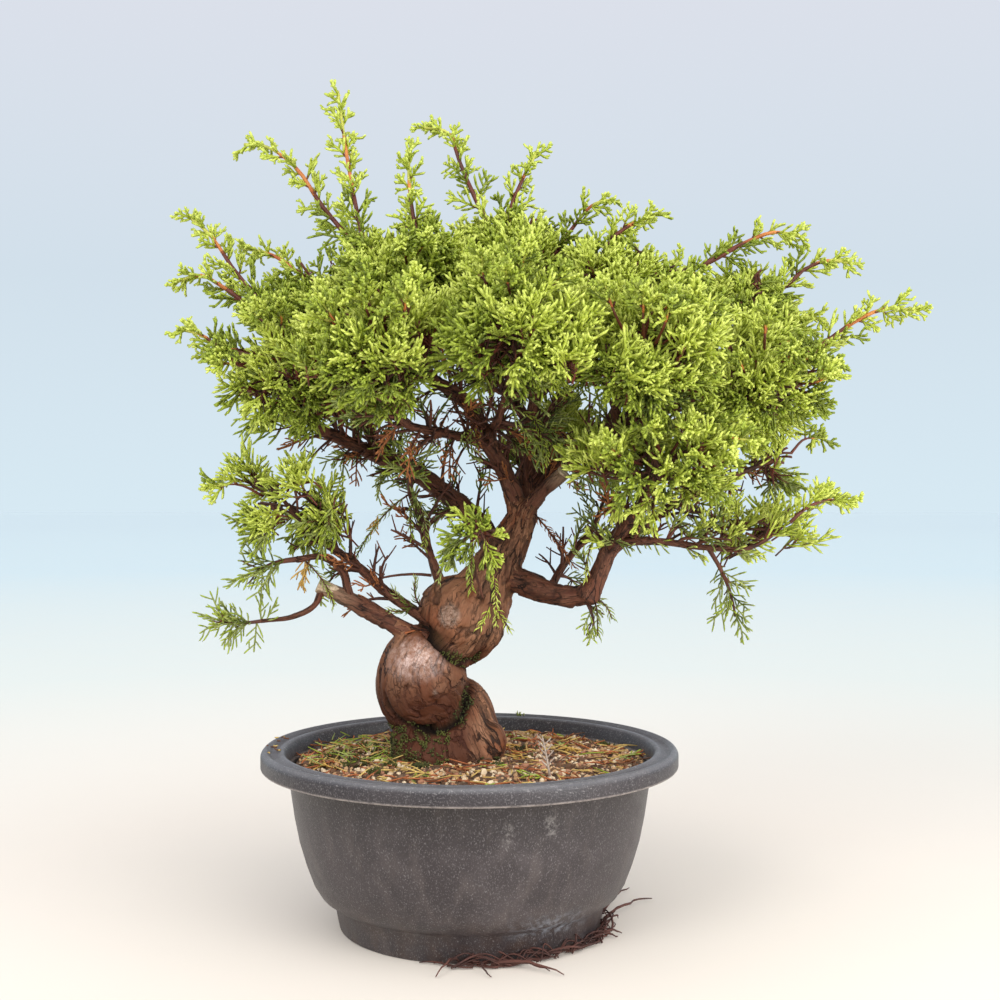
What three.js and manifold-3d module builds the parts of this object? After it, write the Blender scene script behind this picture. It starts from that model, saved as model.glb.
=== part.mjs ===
// A Chinese juniper bonsai in a round plastic training pot: a short coiled trunk, its boughs,
// and a wide dense crown of scale-leaved sprays. Millimetres, +Z up, the origin in the middle
// of the pot's flat underside. The photograph's side is the front, towards -Y.
import * as THREE from "three";
import { mergeVertices } from "three/addons/utils/BufferGeometryUtils.js";
import Module from "manifold-3d";

const wasm = await Module();
wasm.setup();

// Driving dimensions
const potRimRadius = 90;
const potHeight = 76.5;
const potWall = 2.2;
const potFootRadius = 58;
const potFootHeight = 8.4;
const potFloor = 3;
const potSides = 36;
const soilLevel = 72;
const soilEdgeLevel = 69;
const trunkFootRadius = 23.5;
const seam = 0.3; // the clear gap between two nodes that touch

// Materials
const bark = new THREE.MeshStandardMaterial({ color: 0x7a5240, roughness: 0.85, metalness: 0 });
const boughBark = new THREE.MeshStandardMaterial({ color: 0x6a4334, roughness: 0.9, metalness: 0 });
const leaf = new THREE.MeshStandardMaterial({ color: 0x86a63c, roughness: 0.7, metalness: 0 });
const shadeLeaf = new THREE.MeshStandardMaterial({ color: 0x5f8237, roughness: 0.75, metalness: 0 });
const plastic = new THREE.MeshStandardMaterial({ color: 0x3b3a3e, roughness: 0.55, metalness: 0 });
const soilMix = new THREE.MeshStandardMaterial({ color: 0x8a6f55, roughness: 1, metalness: 0 });

// Small helpers for points and for seeded numbers
const point = (p) => new THREE.Vector3(p[0], p[1], p[2]);
const fraction = (x) => x - Math.floor(x);
// The k-th seeded number between 0 and 1 of a stream
const seeded = (k, stream) => fraction(Math.sin(k * 12.9898 + stream * 78.233 + 4.1) * 43758.5453);
// The k-th direction of an even spread over the sphere, down to a lowest height
function spread(k, lowest) {
  const height = lowest + (1 - lowest) * fraction(0.5 + (k + 1) * 0.7548776662);
  const turn = 2 * Math.PI * fraction(0.5 + (k + 1) * 0.5698402909);
  const ring = Math.sqrt(1 - height * height);
  return new THREE.Vector3(ring * Math.cos(turn), ring * Math.sin(turn), height);
}

// Solids: a three.js geometry becomes a solid for joining and cutting, and goes back to a mesh
function solid(geometry) {
  const bare = geometry.clone();
  bare.deleteAttribute("normal");
  bare.deleteAttribute("uv");
  const merged = mergeVertices(bare, 1e-3);
  return new wasm.Manifold(
    new wasm.Mesh({
      numProp: 3,
      vertProperties: new Float32Array(merged.attributes.position.array),
      triVerts: new Uint32Array(merged.index.array),
    }),
  );
}

function facetSolid(corners, faces) {
  const places = corners.flatMap((corner) => corner.toArray());
  const geometry = new THREE.BufferGeometry();
  geometry.setAttribute("position", new THREE.Float32BufferAttribute(places, 3));
  geometry.setIndex(faces);
  return solid(geometry);
}

// The largest closed body of a solid, so that loose scraps and sealed hollows are gone
function largest(body) {
  return body.decompose().reduce((best, next) => (next.volume() > best.volume() ? next : best));
}

function nodeMesh(name, body, material) {
  const { vertProperties, triVerts } = body.getMesh();
  const geometry = new THREE.BufferGeometry();
  geometry.setAttribute("position", new THREE.BufferAttribute(vertProperties.slice(), 3));
  geometry.setIndex(new THREE.BufferAttribute(triVerts.slice(), 1));
  geometry.computeVertexNormals();
  const mesh = new THREE.Mesh(geometry, material);
  mesh.name = name;
  return mesh;
}

// A closed cylinder bent along a curve, its radius given for each share t of the way
function bentTube(curve, radiusAt, sides, steps) {
  const geometry = new THREE.CylinderGeometry(1, 1, 1, sides, steps);
  const { normals, binormals } = curve.computeFrenetFrames(steps);
  const place = geometry.attributes.position;
  for (let i = 0; i < place.count; i++) {
    const t = place.getY(i) + 0.5;
    const step = Math.round(t * steps);
    const radius = radiusAt(t);
    const p = curve
      .getPointAt(t)
      .addScaledVector(normals[step], place.getZ(i) * radius)
      .addScaledVector(binormals[step], place.getX(i) * radius);
    place.setXYZ(i, p.x, p.y, p.z);
  }
  const made = solid(geometry);
  return made.volume() < 0 ? turnedOut(geometry) : made;
}

// The same geometry with its faces turned the other way
function turnedOut(geometry) {
  const index = geometry.index.array;
  for (let i = 0; i < index.length; i += 3) [index[i + 1], index[i + 2]] = [index[i + 2], index[i + 1]];
  return solid(geometry);
}

function ellipsoid(centre, size, tilt, detail) {
  const geometry = new THREE.IcosahedronGeometry(1, detail);
  geometry.scale(...size);
  geometry.rotateY(THREE.MathUtils.degToRad(tilt));
  geometry.translate(...centre);
  return solid(geometry);
}

// Pot: a turned shell with a rolled rim, a rounded body and a narrower foot
const potOutside = [
  [0, 0],
  [potFootRadius, 0],
  [potFootRadius + 0.8, potFootHeight],
  [62.8, 12],
  [67, 18.6],
  [70.6, 28],
  [73.6, 38],
  [77.3, 59.5],
  [78.6, 68.8],
  [potRimRadius, 69],
  [potRimRadius, potHeight - 2.2],
  [potRimRadius - 1.8, potHeight],
  [80.6, potHeight - 0.6],
];
const potInside = [
  [78.2, potHeight - 2.5],
  [77.3 - potWall, 59.5],
  [73.6 - potWall, 38],
  [67 - potWall, 18.6],
  [potFootRadius, potFootHeight + 0.6],
  [potFootRadius - potWall, potFloor],
  [0, potFloor],
];

function turned(profile) {
  const outline = profile.map(([r, z]) => new THREE.Vector2(r, z));
  const geometry = new THREE.LatheGeometry(outline, potSides);
  geometry.rotateX(Math.PI / 2);
  const made = solid(geometry);
  return made.volume() < 0 ? turnedOut(geometry) : made;
}

// Soil: a root ball that fills the pot, highest and flat where the trunk stands
function soilSolid() {
  const inside = potInside.slice(1, -1).map(([r, z]) => [r - seam, z]);
  const floorCorner = inside[inside.length - 1];
  floorCorner[1] += seam;
  const edgeRadius = 76;
  return turned([
    [0, potFloor + seam],
    floorCorner,
    ...inside.slice(0, -1).reverse(),
    [edgeRadius - seam, soilEdgeLevel],
    [54, soilLevel - 1.4],
    [36, soilLevel],
    [0, soilLevel],
  ]);
}

// Trunk: a coiled path with its radii, and the swollen lobes that the coil has grown
const trunkPath = [
  [-7, 0, soilLevel - 6, trunkFootRadius + 1],
  [-7, 0, 76, trunkFootRadius - 0.4],
  [-5.5, 1, 85, 19.5],
  [-4.5, 2, 93, 14.2],
  [-10, 3, 100, 11.5],
  [-15, 2, 108, 12],
  [-14, 1, 117, 15],
  [-4, 2, 127, 17],
  [3.5, 3, 139, 14.5],
  [10, 3, 151, 11],
  [16, 2, 162, 9.6],
  [20.5, 1, 171, 8.4],
  [24, 0, 179, 7.2],
];
const trunkLobes = [
  { centre: [-20.5, -5, 105], size: [19.5, 19, 24.5], tilt: 6 },
  { centre: [-5, -1, 133], size: [17.5, 17.5, 17], tilt: 35 },
  { centre: [-20, -3, 81], size: [14, 15, 15], tilt: 0 },
  { centre: [-20, -10, 73], size: [13, 13, 10], tilt: 0 },
  { centre: [4, -6, 73], size: [13, 13, 10], tilt: 0 },
  { centre: [-6, 13, 73], size: [14, 13, 10], tilt: 0 },
];

// A radius at each share of a path, from the radii listed at its points
function radiusAlong(radii) {
  return (t) => {
    const place = t * (radii.length - 1);
    const k = Math.min(Math.floor(place), radii.length - 2);
    return THREE.MathUtils.lerp(radii[k], radii[k + 1], place - k);
  };
}

// The trunk, or with a swell the same shape that much larger, for cutting its boughs clear
function trunkSolid(swell) {
  const curve = new THREE.CatmullRomCurve3(trunkPath.map(point));
  const radii = radiusAlong(trunkPath.map((p) => p[3] + swell));
  let trunk = bentTube(curve, radii, 12, 16);
  for (const lobe of trunkLobes)
    trunk = trunk.add(ellipsoid(lobe.centre, lobe.size.map((r) => r + swell), lobe.tilt, 2));
  const ground = new THREE.BoxGeometry(200, 200, 40);
  ground.translate(0, 0, soilLevel + seam - swell - 20);
  return largest(trunk.subtract(solid(ground)));
}

// Boughs: each a tapering limb through a few points, from a thick end inside what carries it
const boughs = {
  left_stub: {
    on: "trunk",
    radius: [4.2, 3.2],
    path: [[-20, -6, 122], [-42, -10, 135], [-53, -12, 141.5], [-64, -14, 146.5]],
  },
  left_stub_rise: {
    on: "left_stub",
    radius: [2, 1.4],
    path: [[-51.5, -12, 141], [-54, -15, 153], [-62, -18, 159], [-72, -20, 158]],
  },
  lowest_left_twig: {
    on: "left_stub",
    radius: [1.5, 0.9],
    path: [[-62.5, -14, 145], [-66, -16, 138], [-75, -16, 133.5], [-88, -17, 131.8]],
  },
  left_low: {
    on: "trunk",
    radius: [2.8, 1.6],
    path: [[-14, -3, 128], [-36.5, -8, 144], [-47, -10, 154], [-66, -12, 168]],
  },
  left_riser: {
    on: "trunk",
    radius: [2.5, 1.6],
    path: [[-10, 2, 138], [-18, 6, 160], [-22, 8, 174], [-26, 4, 186]],
  },
  left_main: {
    on: "trunk",
    radius: [5.6, 2.6],
    path: [[14, 3, 156], [2, 18, 174], [-23, 26, 194], [-42, 22, 203], [-64, 4, 213]],
  },
  left_back: {
    on: "left_main",
    radius: [3, 1.8],
    path: [[-23, 26, 194], [-43, 42, 207], [-52, 50, 219]],
  },
  left_high: {
    on: "left_main",
    radius: [2.6, 1.7],
    path: [[-42, 22, 203], [-50, 20, 226], [-54, 15, 248]],
  },
  leader: {
    on: "trunk",
    radius: [4.5, 2.1],
    path: [[23, 1, 174], [15, 0, 195], [8, -4, 208], [-2, -8, 226], [-17, -10, 236], [-24, -12, 250]],
  },
  front_left_bough: {
    on: "leader",
    radius: [2.4, 1.5],
    path: [[8, -4, 208], [-10, -22, 211], [-25, -38, 214], [-30, -48, 220]],
  },
  front_centre_bough: {
    on: "leader",
    radius: [2.3, 1.5],
    path: [[6, -5, 211], [12, -28, 216], [16, -48, 228]],
  },
  fork_stub: {
    on: "trunk",
    radius: [3.5, 3.1],
    path: [[22, 0, 176], [32.5, -6, 187.5], [40, -10, 194.5]],
  },
  right_main: {
    on: "trunk",
    radius: [4.4, 2.2],
    path: [[23, 4, 173], [29, 14, 187], [42, 21, 200], [60, 24, 212], [78, 18, 220], [93, 8, 226]],
  },
  centre_riser: {
    on: "trunk",
    radius: [4.2, 2.2],
    path: [[24, 3, 175], [25, 16, 195], [27, 22, 215], [29, 18, 238], [24, 12, 264]],
  },
  right_high: {
    on: "centre_riser",
    radius: [2.6, 1.7],
    path: [[28, 20, 230], [46, 14, 246], [58, 6, 256]],
  },
  far_right_high: {
    on: "right_main",
    radius: [2.5, 1.7],
    path: [[74, 20, 218], [94, 22, 240], [107, 20, 255]],
  },
  back_centre_bough: {
    on: "centre_riser",
    radius: [2.8, 1.8],
    path: [[27, 22, 217], [17, 38, 231], [11, 48, 243]],
  },
  back_right_bough: {
    on: "right_main",
    radius: [2.7, 1.8],
    path: [[58, 24, 211], [66, 42, 224], [72, 53, 236]],
  },
  back_far_right_bough: {
    on: "right_main",
    radius: [2.5, 1.7],
    path: [[70, 21, 217], [92, 33, 218], [106, 43, 220]],
  },
  back_low_bough: {
    on: "right_main",
    radius: [2.4, 1.7],
    path: [[38, 19, 197], [41, 34, 200], [42, 46, 204]],
  },
  front_right_bough: {
    on: "right_main",
    radius: [2.2, 1.5],
    path: [[56, 23, 210], [62, 2, 207], [62, -20, 211], [60, -36, 221]],
  },
  right_low: {
    on: "trunk",
    radius: [6, 4.4],
    path: [[14, 2, 151], [32, -8, 144], [43, -14, 142], [51, -17, 143]],
  },
  right_low_rise: {
    on: "right_low",
    radius: [4.5, 2.6],
    path: [[50, -17, 142], [56, -20, 155], [59, -22, 163], [66, -30, 174]],
  },
  right_low_out: {
    on: "right_low_rise",
    radius: [1.9, 1.2],
    path: [[60, -23, 165], [76, -26, 166], [96, -24, 163.5], [113, -20, 162]],
  },
  right_low_mid: {
    on: "right_low_rise",
    radius: [2.3, 1.5],
    path: [[58, -21, 160], [82, -14, 178], [108, -11, 191]],
  },
  right_low_rear: {
    on: "right_low",
    radius: [2, 1.4],
    path: [[34, -8, 144], [40, 4, 153], [46.5, 10, 161], [54, 12, 170]],
  },
};
for (const limb of Object.values(boughs)) {
  limb.curve = new THREE.CatmullRomCurve3(limb.path.map(point));
  limb.radiusAt = (t) => THREE.MathUtils.lerp(limb.radius[0], limb.radius[1], t);
}

function boughSolid(limb, swell) {
  const steps = 2 * limb.path.length - 3;
  const sides = limb.radius[0] > 4 ? 7 : 5;
  return bentTube(limb.curve, (t) => limb.radiusAt(t) + swell, sides, steps);
}

// Masses of foliage: where each is, its half sizes, and the bough that it grows on, from its tip
// unless a share of the way along is given. A dense mass has a core, as a share of its half sizes.
const masses = {
  crown_left: { at: [-76, -24, 236], size: [36, 42, 32], on: "left_main", core: 0.62 },
  crown_left_high: { at: [-64, 10, 274], size: [38, 40, 29], on: "left_high", core: 0.62 },
  crown_top_left: { at: [-25, -15, 281], size: [34, 38, 33], on: "leader", core: 0.62 },
  crown_top: { at: [17, 5, 293], size: [37, 42, 31], on: "centre_riser", core: 0.62 },
  front_left: { at: [-30, -66, 238], size: [36, 35, 31], on: "front_left_bough", core: 0.62 },
  front_centre: { at: [19, -72, 246], size: [37, 34, 32], on: "front_centre_bough", core: 0.62 },
  crown_right_high: { at: [73, 0, 276], size: [38, 42, 29], on: "right_high", core: 0.62 },
  crown_far_right_high: { at: [122, 15, 270], size: [37, 40, 30], on: "far_right_high", core: 0.6 },
  front_right: { at: [69, -60, 238], size: [38, 36, 30], on: "front_right_bough", core: 0.62 },
  crown_right: { at: [123, -20, 232], size: [34, 40, 31], on: "right_main", core: 0.62 },
  crown_right_low: { at: [133, -8, 201], size: [28, 34, 25], on: "right_low_mid", core: 0.5 },
  low_right: { at: [78, -52, 197], size: [39, 33, 26], on: "right_low_rise", core: 0.58 },
  low_far_right: { at: [132, -16, 171], size: [31, 26, 17], on: "right_low_out", core: 0.36 },
  low_left: { at: [-79, -14, 183], size: [29, 29, 26], on: "left_low", core: 0.42 },
  back_left: { at: [-64, 61, 241], size: [42, 41, 33], on: "left_back", core: 0.62 },
  back_centre: { at: [4, 67, 266], size: [43, 43, 34], on: "back_centre_bough", core: 0.62 },
  back_right: { at: [77, 70, 257], size: [42, 43, 33], on: "back_right_bough", core: 0.62 },
  back_far_right: { at: [127, 57, 227], size: [35, 39, 31], on: "back_far_right_bough", core: 0.6 },
  back_low: { at: [42, 66, 208], size: [40, 34, 26], on: "back_low_bough", core: 0.55 },
  // Loose masses: the tip that the stem runs to, how many sprays it bears, and how long they are
  hanging_right: {
    at: [110, -21, 148],
    size: [15, 10, 15],
    on: "right_low_out",
    along: 0.75,
    tip: [112, -20, 134],
    sprays: 6,
    sprayLength: 13,
  },
  under_right: {
    at: [53, -20, 134],
    size: [8, 6, 8],
    on: "right_low",
    along: 0.93,
    tip: [52, -22, 130],
    sprays: 2,
    sprayLength: 9,
  },
  low_left_under: {
    at: [-82, -20, 158],
    size: [18, 16, 11],
    on: "left_stub_rise",
    tip: [-91, -20, 152],
    sprays: 6,
    sprayLength: 14,
  },
  lowest_left: {
    at: [-98, -18, 130],
    size: [15, 12, 14],
    on: "lowest_left_twig",
    tip: [-105, -18, 132],
    sprays: 7,
    sprayLength: 13,
  },
  trunk_front: {
    at: [-6, -52, 182],
    size: [15, 9, 22],
    on: "trunk",
    along: 0.86,
    tip: [6, -36, 143],
    sprays: 9,
    sprayLength: 15,
  },
  inner_left: {
    at: [-24, -6, 196],
    size: [16, 13, 13],
    on: "left_riser",
    tip: [-26, -10, 204],
    sprays: 6,
    sprayLength: 14,
  },
  inner_centre: {
    at: [28, -32, 212],
    size: [13, 11, 14],
    on: "front_centre_bough",
    along: 0.5,
    tip: [36, -34, 206],
    sprays: 6,
    sprayLength: 14,
  },
  inner_right: {
    at: [58, 14, 182],
    size: [13, 13, 12],
    on: "right_low_rear",
    tip: [62, 14, 188],
    sprays: 6,
    sprayLength: 14,
  },
};

// Long shoots: the mass that each stands out of, its root in that mass's core, and its tip
const shoots = [
  ["crown_top_left", [-42, -14, 284], [-56, -15, 361]],
  ["crown_top_left", [-21, -20, 292], [-27, -25, 332]],
  ["crown_left_high", [-55, 8, 286], [-101, 5, 341]],
  ["crown_left_high", [-74, 6, 276], [-123, 5, 308]],
  ["crown_left_high", [-78, 4, 270], [-127, -8, 275]],
  ["crown_left_high", [-72, 14, 276], [-104, 26, 300]],
  ["crown_left", [-90, -26, 240], [-115, -30, 252]],
  ["crown_top", [4, 8, 306], [-23, 10, 351]],
  ["crown_top", [19, 12, 308], [31, 20, 341]],
  ["crown_top", [34, -4, 302], [57, -16, 312]],
  ["crown_right_high", [70, 6, 286], [84, 10, 312]],
  ["crown_far_right_high", [118, 16, 280], [150, 18, 302]],
  ["crown_far_right_high", [130, 12, 276], [169, 10, 290]],
  ["crown_right", [136, -22, 240], [189, -30, 261]],
  ["back_left", [-76, 66, 250], [-104, 82, 278]],
  ["back_centre", [2, 72, 280], [-8, 88, 320]],
  ["back_right", [86, 76, 270], [104, 98, 306]],
  ["back_far_right", [137, 62, 235], [168, 80, 253]],
];
const meanSize = (mass) => (mass.size[0] + mass.size[1] + mass.size[2]) / 3;

// A mass's stem: from a seam beyond the tip of its bough, or from inside the side that it grows from
function stemCurve(mass) {
  const parent = mass.on === "trunk" ? trunkLimb : boughs[mass.on];
  const hub = point(mass.at);
  const share = mass.along ?? 1;
  const start = parent.curve.getPointAt(share);
  const heading = hub.clone().sub(start);
  const reach = heading.length();
  heading.normalize();
  if (share === 1) {
    heading.copy(parent.curve.getTangentAt(1));
    start.addScaledVector(heading, seam);
  }
  const bend = start.clone().addScaledVector(heading, reach * 0.4);
  if (mass.tip) return new THREE.CubicBezierCurve3(start, bend, hub, point(mass.tip));
  return new THREE.QuadraticBezierCurve3(start, bend, hub);
}
const trunkLimb = {
  curve: new THREE.CatmullRomCurve3(trunkPath.map(point)),
  radiusAt: radiusAlong(trunkPath.map((p) => p[3])),
};
for (const mass of Object.values(masses)) {
  mass.stem = stemCurve(mass);
  mass.stemRadius = mass.along === undefined ? boughs[mass.on].radius[1] : 1.1;
}

// A mass's own space is its side of a plane between it and each other mass, less a margin
const spaceMargin = 0.5;
function inOwnSpace(p, mass) {
  const own = p.distanceToSquared(point(mass.at)) - meanSize(mass) ** 2;
  return Object.values(masses).every((other) => {
    if (other === mass) return true;
    const theirs = p.distanceToSquared(point(other.at)) - meanSize(other) ** 2;
    const apart = point(mass.at).distanceTo(point(other.at));
    return theirs - own > 2 * spaceMargin * apart;
  });
}

// Wood that foliage keeps clear of, as short tapering lengths
function lengthsOf(curve, radiusAt, count) {
  return Array.from({ length: count }, (_, k) => ({
    line: new THREE.Line3(curve.getPointAt(k / count), curve.getPointAt((k + 1) / count)),
    radii: [radiusAt(k / count), radiusAt((k + 1) / count)],
  }));
}
const wood = Object.values(boughs).flatMap((limb) => lengthsOf(limb.curve, limb.radiusAt, 6));
wood.push(...lengthsOf(trunkLimb.curve, trunkLimb.radiusAt, 12));
for (const mass of Object.values(masses)) {
  const lengths = lengthsOf(mass.stem, () => mass.stemRadius, 4);
  wood.push(...lengths.map((length) => ({ ...length, owner: mass })));
}
const nearest = new THREE.Vector3();
function clearOfWood(p, mass, margin) {
  return wood.every(({ line, radii, owner }) => {
    if (owner === mass) return true;
    const t = line.closestPointToPointParameter(p, true);
    line.at(t, nearest);
    return nearest.distanceTo(p) > THREE.MathUtils.lerp(radii[0], radii[1], t) + margin;
  });
}
function fits(points, mass, margin) {
  return points.every((p) => inOwnSpace(p, mass) && clearOfWood(p, mass, margin));
}

// A spray: a thin toothed blade, thickest in the middle, for one fan of scale-leaved branchlets.
// Its outline is a share of its length along and across, from the root round to the root again.
const sprayOutline = [
  [0, 0],
  [0.5, -0.5],
  [0.6, -0.18],
  [1, 0],
  [0.74, 0.16],
  [0.76, 0.5],
  [0.36, 0.16],
];
const sprayMiddle = 0.45;
const sprayThickness = 0.12; // of its length, in the middle
const leafMargin = 2;
const sprayLengths = [1, 0.85, 0.7, 0.56]; // as shares of the whole, the longest that fits

// Its outline's corners, then the two in the middle of its faces
function sprayPoints(root, along, across, length) {
  const up = new THREE.Vector3().crossVectors(along, across);
  const at = (a, b, c) => {
    const corner = root.clone().addScaledVector(along, a * length);
    return corner.addScaledVector(across, b * length).addScaledVector(up, c * length);
  };
  const outline = sprayOutline.map(([a, b]) => at(a, b, 0));
  return [...outline, at(sprayMiddle, 0, sprayThickness / 2), at(sprayMiddle, 0, -sprayThickness / 2)];
}

function spraySolid(root, along, across, length) {
  const corners = sprayPoints(root, along, across, length);
  const count = sprayOutline.length;
  const faces = sprayOutline.flatMap((_, k) => {
    const next = (k + 1) % count;
    return [k, next, count, next, k, count + 1];
  });
  return facetSolid(corners, faces);
}

// The direction across a spray: square to its length, turned about it by a seeded angle
function acrossFor(along, turn) {
  const level = new THREE.Vector3(-along.y, along.x, 0);
  if (level.lengthSq() < 1e-4) level.set(1, 0, 0);
  return level.normalize().applyAxisAngle(along, turn);
}

// A spray from a root to a tip, shorter where it would leave its space or touch wood, or left out
function placeSpray(root, tip, turn, mass) {
  const along = tip.clone().sub(root);
  const whole = along.length();
  along.normalize();
  const across = acrossFor(along, turn);
  for (const share of sprayLengths) {
    const length = whole * share;
    const inner = sprayPoints(root, along, across, length * 0.6);
    const outer = sprayPoints(root, along, across, length);
    if (fits([...outer, ...inner], mass, leafMargin)) return spraySolid(root, along, across, length);
  }
  return null;
}

// A three-sided twig
const twigSolid = (curve, thick, thin, steps) =>
  bentTube(curve, (t) => THREE.MathUtils.lerp(thick, thin, t), 3, steps);

// A point of a dense mass, drawn in towards its middle until it is in its space and clear of wood
function drawnIn(mass, heading, share) {
  const corner = new THREE.Vector3();
  for (let left = share; left > 0.1; left -= 0.04) {
    corner.copy(point(mass.at)).addScaledVector(heading, left);
    if (fits([corner], mass, leafMargin)) break;
  }
  return corner;
}

// A dense mass's core: a lumpy ball with a pointed tuft standing out of each of its faces
const tuftReach = [0.72, 1.1]; // shares of the mass's half sizes that the tufts reach to
const tuftLift = 0.09;
function coreSolid(mass, stream) {
  const ball = new THREE.IcosahedronGeometry(1, 1);
  ball.rotateZ(stream);
  ball.rotateX(0.7 * stream);
  ball.deleteAttribute("normal");
  ball.deleteAttribute("uv");
  const { attributes, index } = mergeVertices(ball);
  const size = point(mass.size);
  const headings = Array.from({ length: attributes.position.count }, (_, k) =>
    new THREE.Vector3().fromBufferAttribute(attributes.position, k),
  );
  const corners = headings.map((heading, k) => {
    const share = mass.core * (0.72 + 0.45 * seeded(k, stream));
    return drawnIn(mass, heading.clone().multiply(size), share);
  });
  const faces = [];
  for (let k = 0; k < index.count; k += 3) {
    const face = [index.getX(k), index.getX(k + 1), index.getX(k + 2)];
    const middle = new THREE.Vector3();
    for (const corner of face) middle.add(headings[corner]);
    middle.normalize();
    middle.z += tuftLift;
    const share = THREE.MathUtils.lerp(...tuftReach, seeded(k, stream + 20));
    const tip = corners.push(drawnIn(mass, middle.multiply(size), share)) - 1;
    face.forEach((corner, side) => faces.push(corner, face[(side + 1) % 3], tip));
  }
  return facetSolid(corners, faces);
}

// A shoot: a long twig out of the mass, with sprays on alternate sides and one at its tip
const shootSprays = [0.58, 0.8];
const shootSprayLength = 15;
const shootArch = 0.04; // of its length, upwards
function shootSolids(mass, root, tip, stream) {
  const start = point(root);
  const end = point(tip);
  const bend = start.clone().lerp(end, 0.5);
  bend.z += shootArch * start.distanceTo(end);
  const curve = new THREE.QuadraticBezierCurve3(start, bend, end);
  if (!fits(curve.getPoints(12), mass, 1)) return [];
  const made = [twigSolid(curve, 1.4, 0.6, 3)];
  shootSprays.forEach((share, k) => {
    const fork = curve.getPointAt(share);
    const along = curve.getTangentAt(share);
    const side = acrossFor(along, Math.PI * (k + 0.4 * seeded(k, stream)));
    const target = fork.clone().addScaledVector(along, shootSprayLength * 0.75);
    target.addScaledVector(side, shootSprayLength * 0.6);
    made.push(placeSpray(fork, target, 1.5 * seeded(k, stream), mass));
  });
  made.push(placeSpray(curve.getPointAt(0.82), end, 0.8, mass));
  return made;
}

// Sprays on a dense mass: rooted in its core, they stand out beyond its tufts
const denseSprays = 4;
const sprayRoot = 0.5; // as shares of the mass's half sizes
const sprayReach = 1.14;
function coreSprays(mass, stream) {
  const hub = point(mass.at);
  return Array.from({ length: denseSprays }, (_, k) => {
    const out = spread(k + 3 * stream, -0.4);
    const heading = out.clone().multiply(point(mass.size));
    out.z += 0.25;
    const lifted = out.normalize().multiply(point(mass.size));
    const root = hub.clone().addScaledVector(heading, sprayRoot);
    const tip = hub.clone().addScaledVector(lifted, sprayReach);
    return placeSpray(root, tip, Math.PI * seeded(k, stream + 40), mass);
  });
}

// Sprays on a loose mass: on alternate sides of its stem, and one at the stem's end
function stemSprays(mass, stream) {
  const made = [];
  const count = mass.sprays - 1;
  for (let k = 0; k < count; k++) {
    const share = 0.25 + (0.65 * k) / count;
    const root = mass.stem.getPointAt(share);
    const along = mass.stem.getTangentAt(share);
    const side = acrossFor(along, k * 2.4 + seeded(k, stream));
    const target = root.clone().addScaledVector(along, mass.sprayLength * 0.6);
    target.addScaledVector(side, mass.sprayLength * 0.8);
    made.push(placeSpray(root, target, seeded(k, stream + 40) - 0.5, mass));
  }
  const end = mass.stem.getPointAt(0.86);
  const past = end.clone().addScaledVector(mass.stem.getTangentAt(1), mass.sprayLength);
  made.push(placeSpray(end, past, 0.3, mass));
  return made;
}

// A mass grows from one stem, with its sprays and then its shoots
function massSolid(name, mass, stream) {
  const made = [twigSolid(mass.stem, mass.stemRadius, mass.stemRadius * 0.5, 3)];
  if (mass.core) made.push(coreSolid(mass, stream), ...coreSprays(mass, stream));
  else made.push(...stemSprays(mass, stream));
  for (const [k, [owner, root, tip]] of shoots.entries())
    if (owner === name) made.push(...shootSolids(mass, root, tip, k));
  const joined = made.filter(Boolean).reduce((all, next) => all.add(next));
  const parent = mass.on === "trunk" ? trunkSolid(seam) : boughSolid(boughs[mass.on], seam);
  return largest(joined.subtract(parent));
}

// The plant and its pot
const bonsai = new THREE.Group();
bonsai.add(nodeMesh("pot", turned([...potOutside, ...potInside]), plastic));
bonsai.add(nodeMesh("soil", soilSolid(), soilMix));
bonsai.add(nodeMesh("trunk", trunkSolid(0), bark));

// Each bough is cut a seam clear of the trunk and of the boughs before it
const cleared = [trunkSolid(seam)];
for (const [name, limb] of Object.entries(boughs)) {
  const made = cleared.reduce((left, other) => left.subtract(other), boughSolid(limb, 0));
  bonsai.add(nodeMesh(name, largest(made), boughBark));
  cleared.push(boughSolid(limb, seam));
}

const shaded = new Set(["inner_left", "inner_centre", "inner_right", "back_low", "low_left_under"]);
Object.entries(masses).forEach(([name, mass], k) => {
  bonsai.add(nodeMesh(name, massSolid(name, mass, k + 1), shaded.has(name) ? shadeLeaf : leaf));
});

export default bonsai;
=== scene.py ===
"""The finished look of a potted Chinese juniper bonsai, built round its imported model.

Sizes are in millimetres, in the model's frame, until a piece is made.
"""
import math

import bmesh
import bpy
import numpy as np
from mathutils import Matrix, Vector, noise
from mathutils.bvhtree import BVHTree


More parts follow.
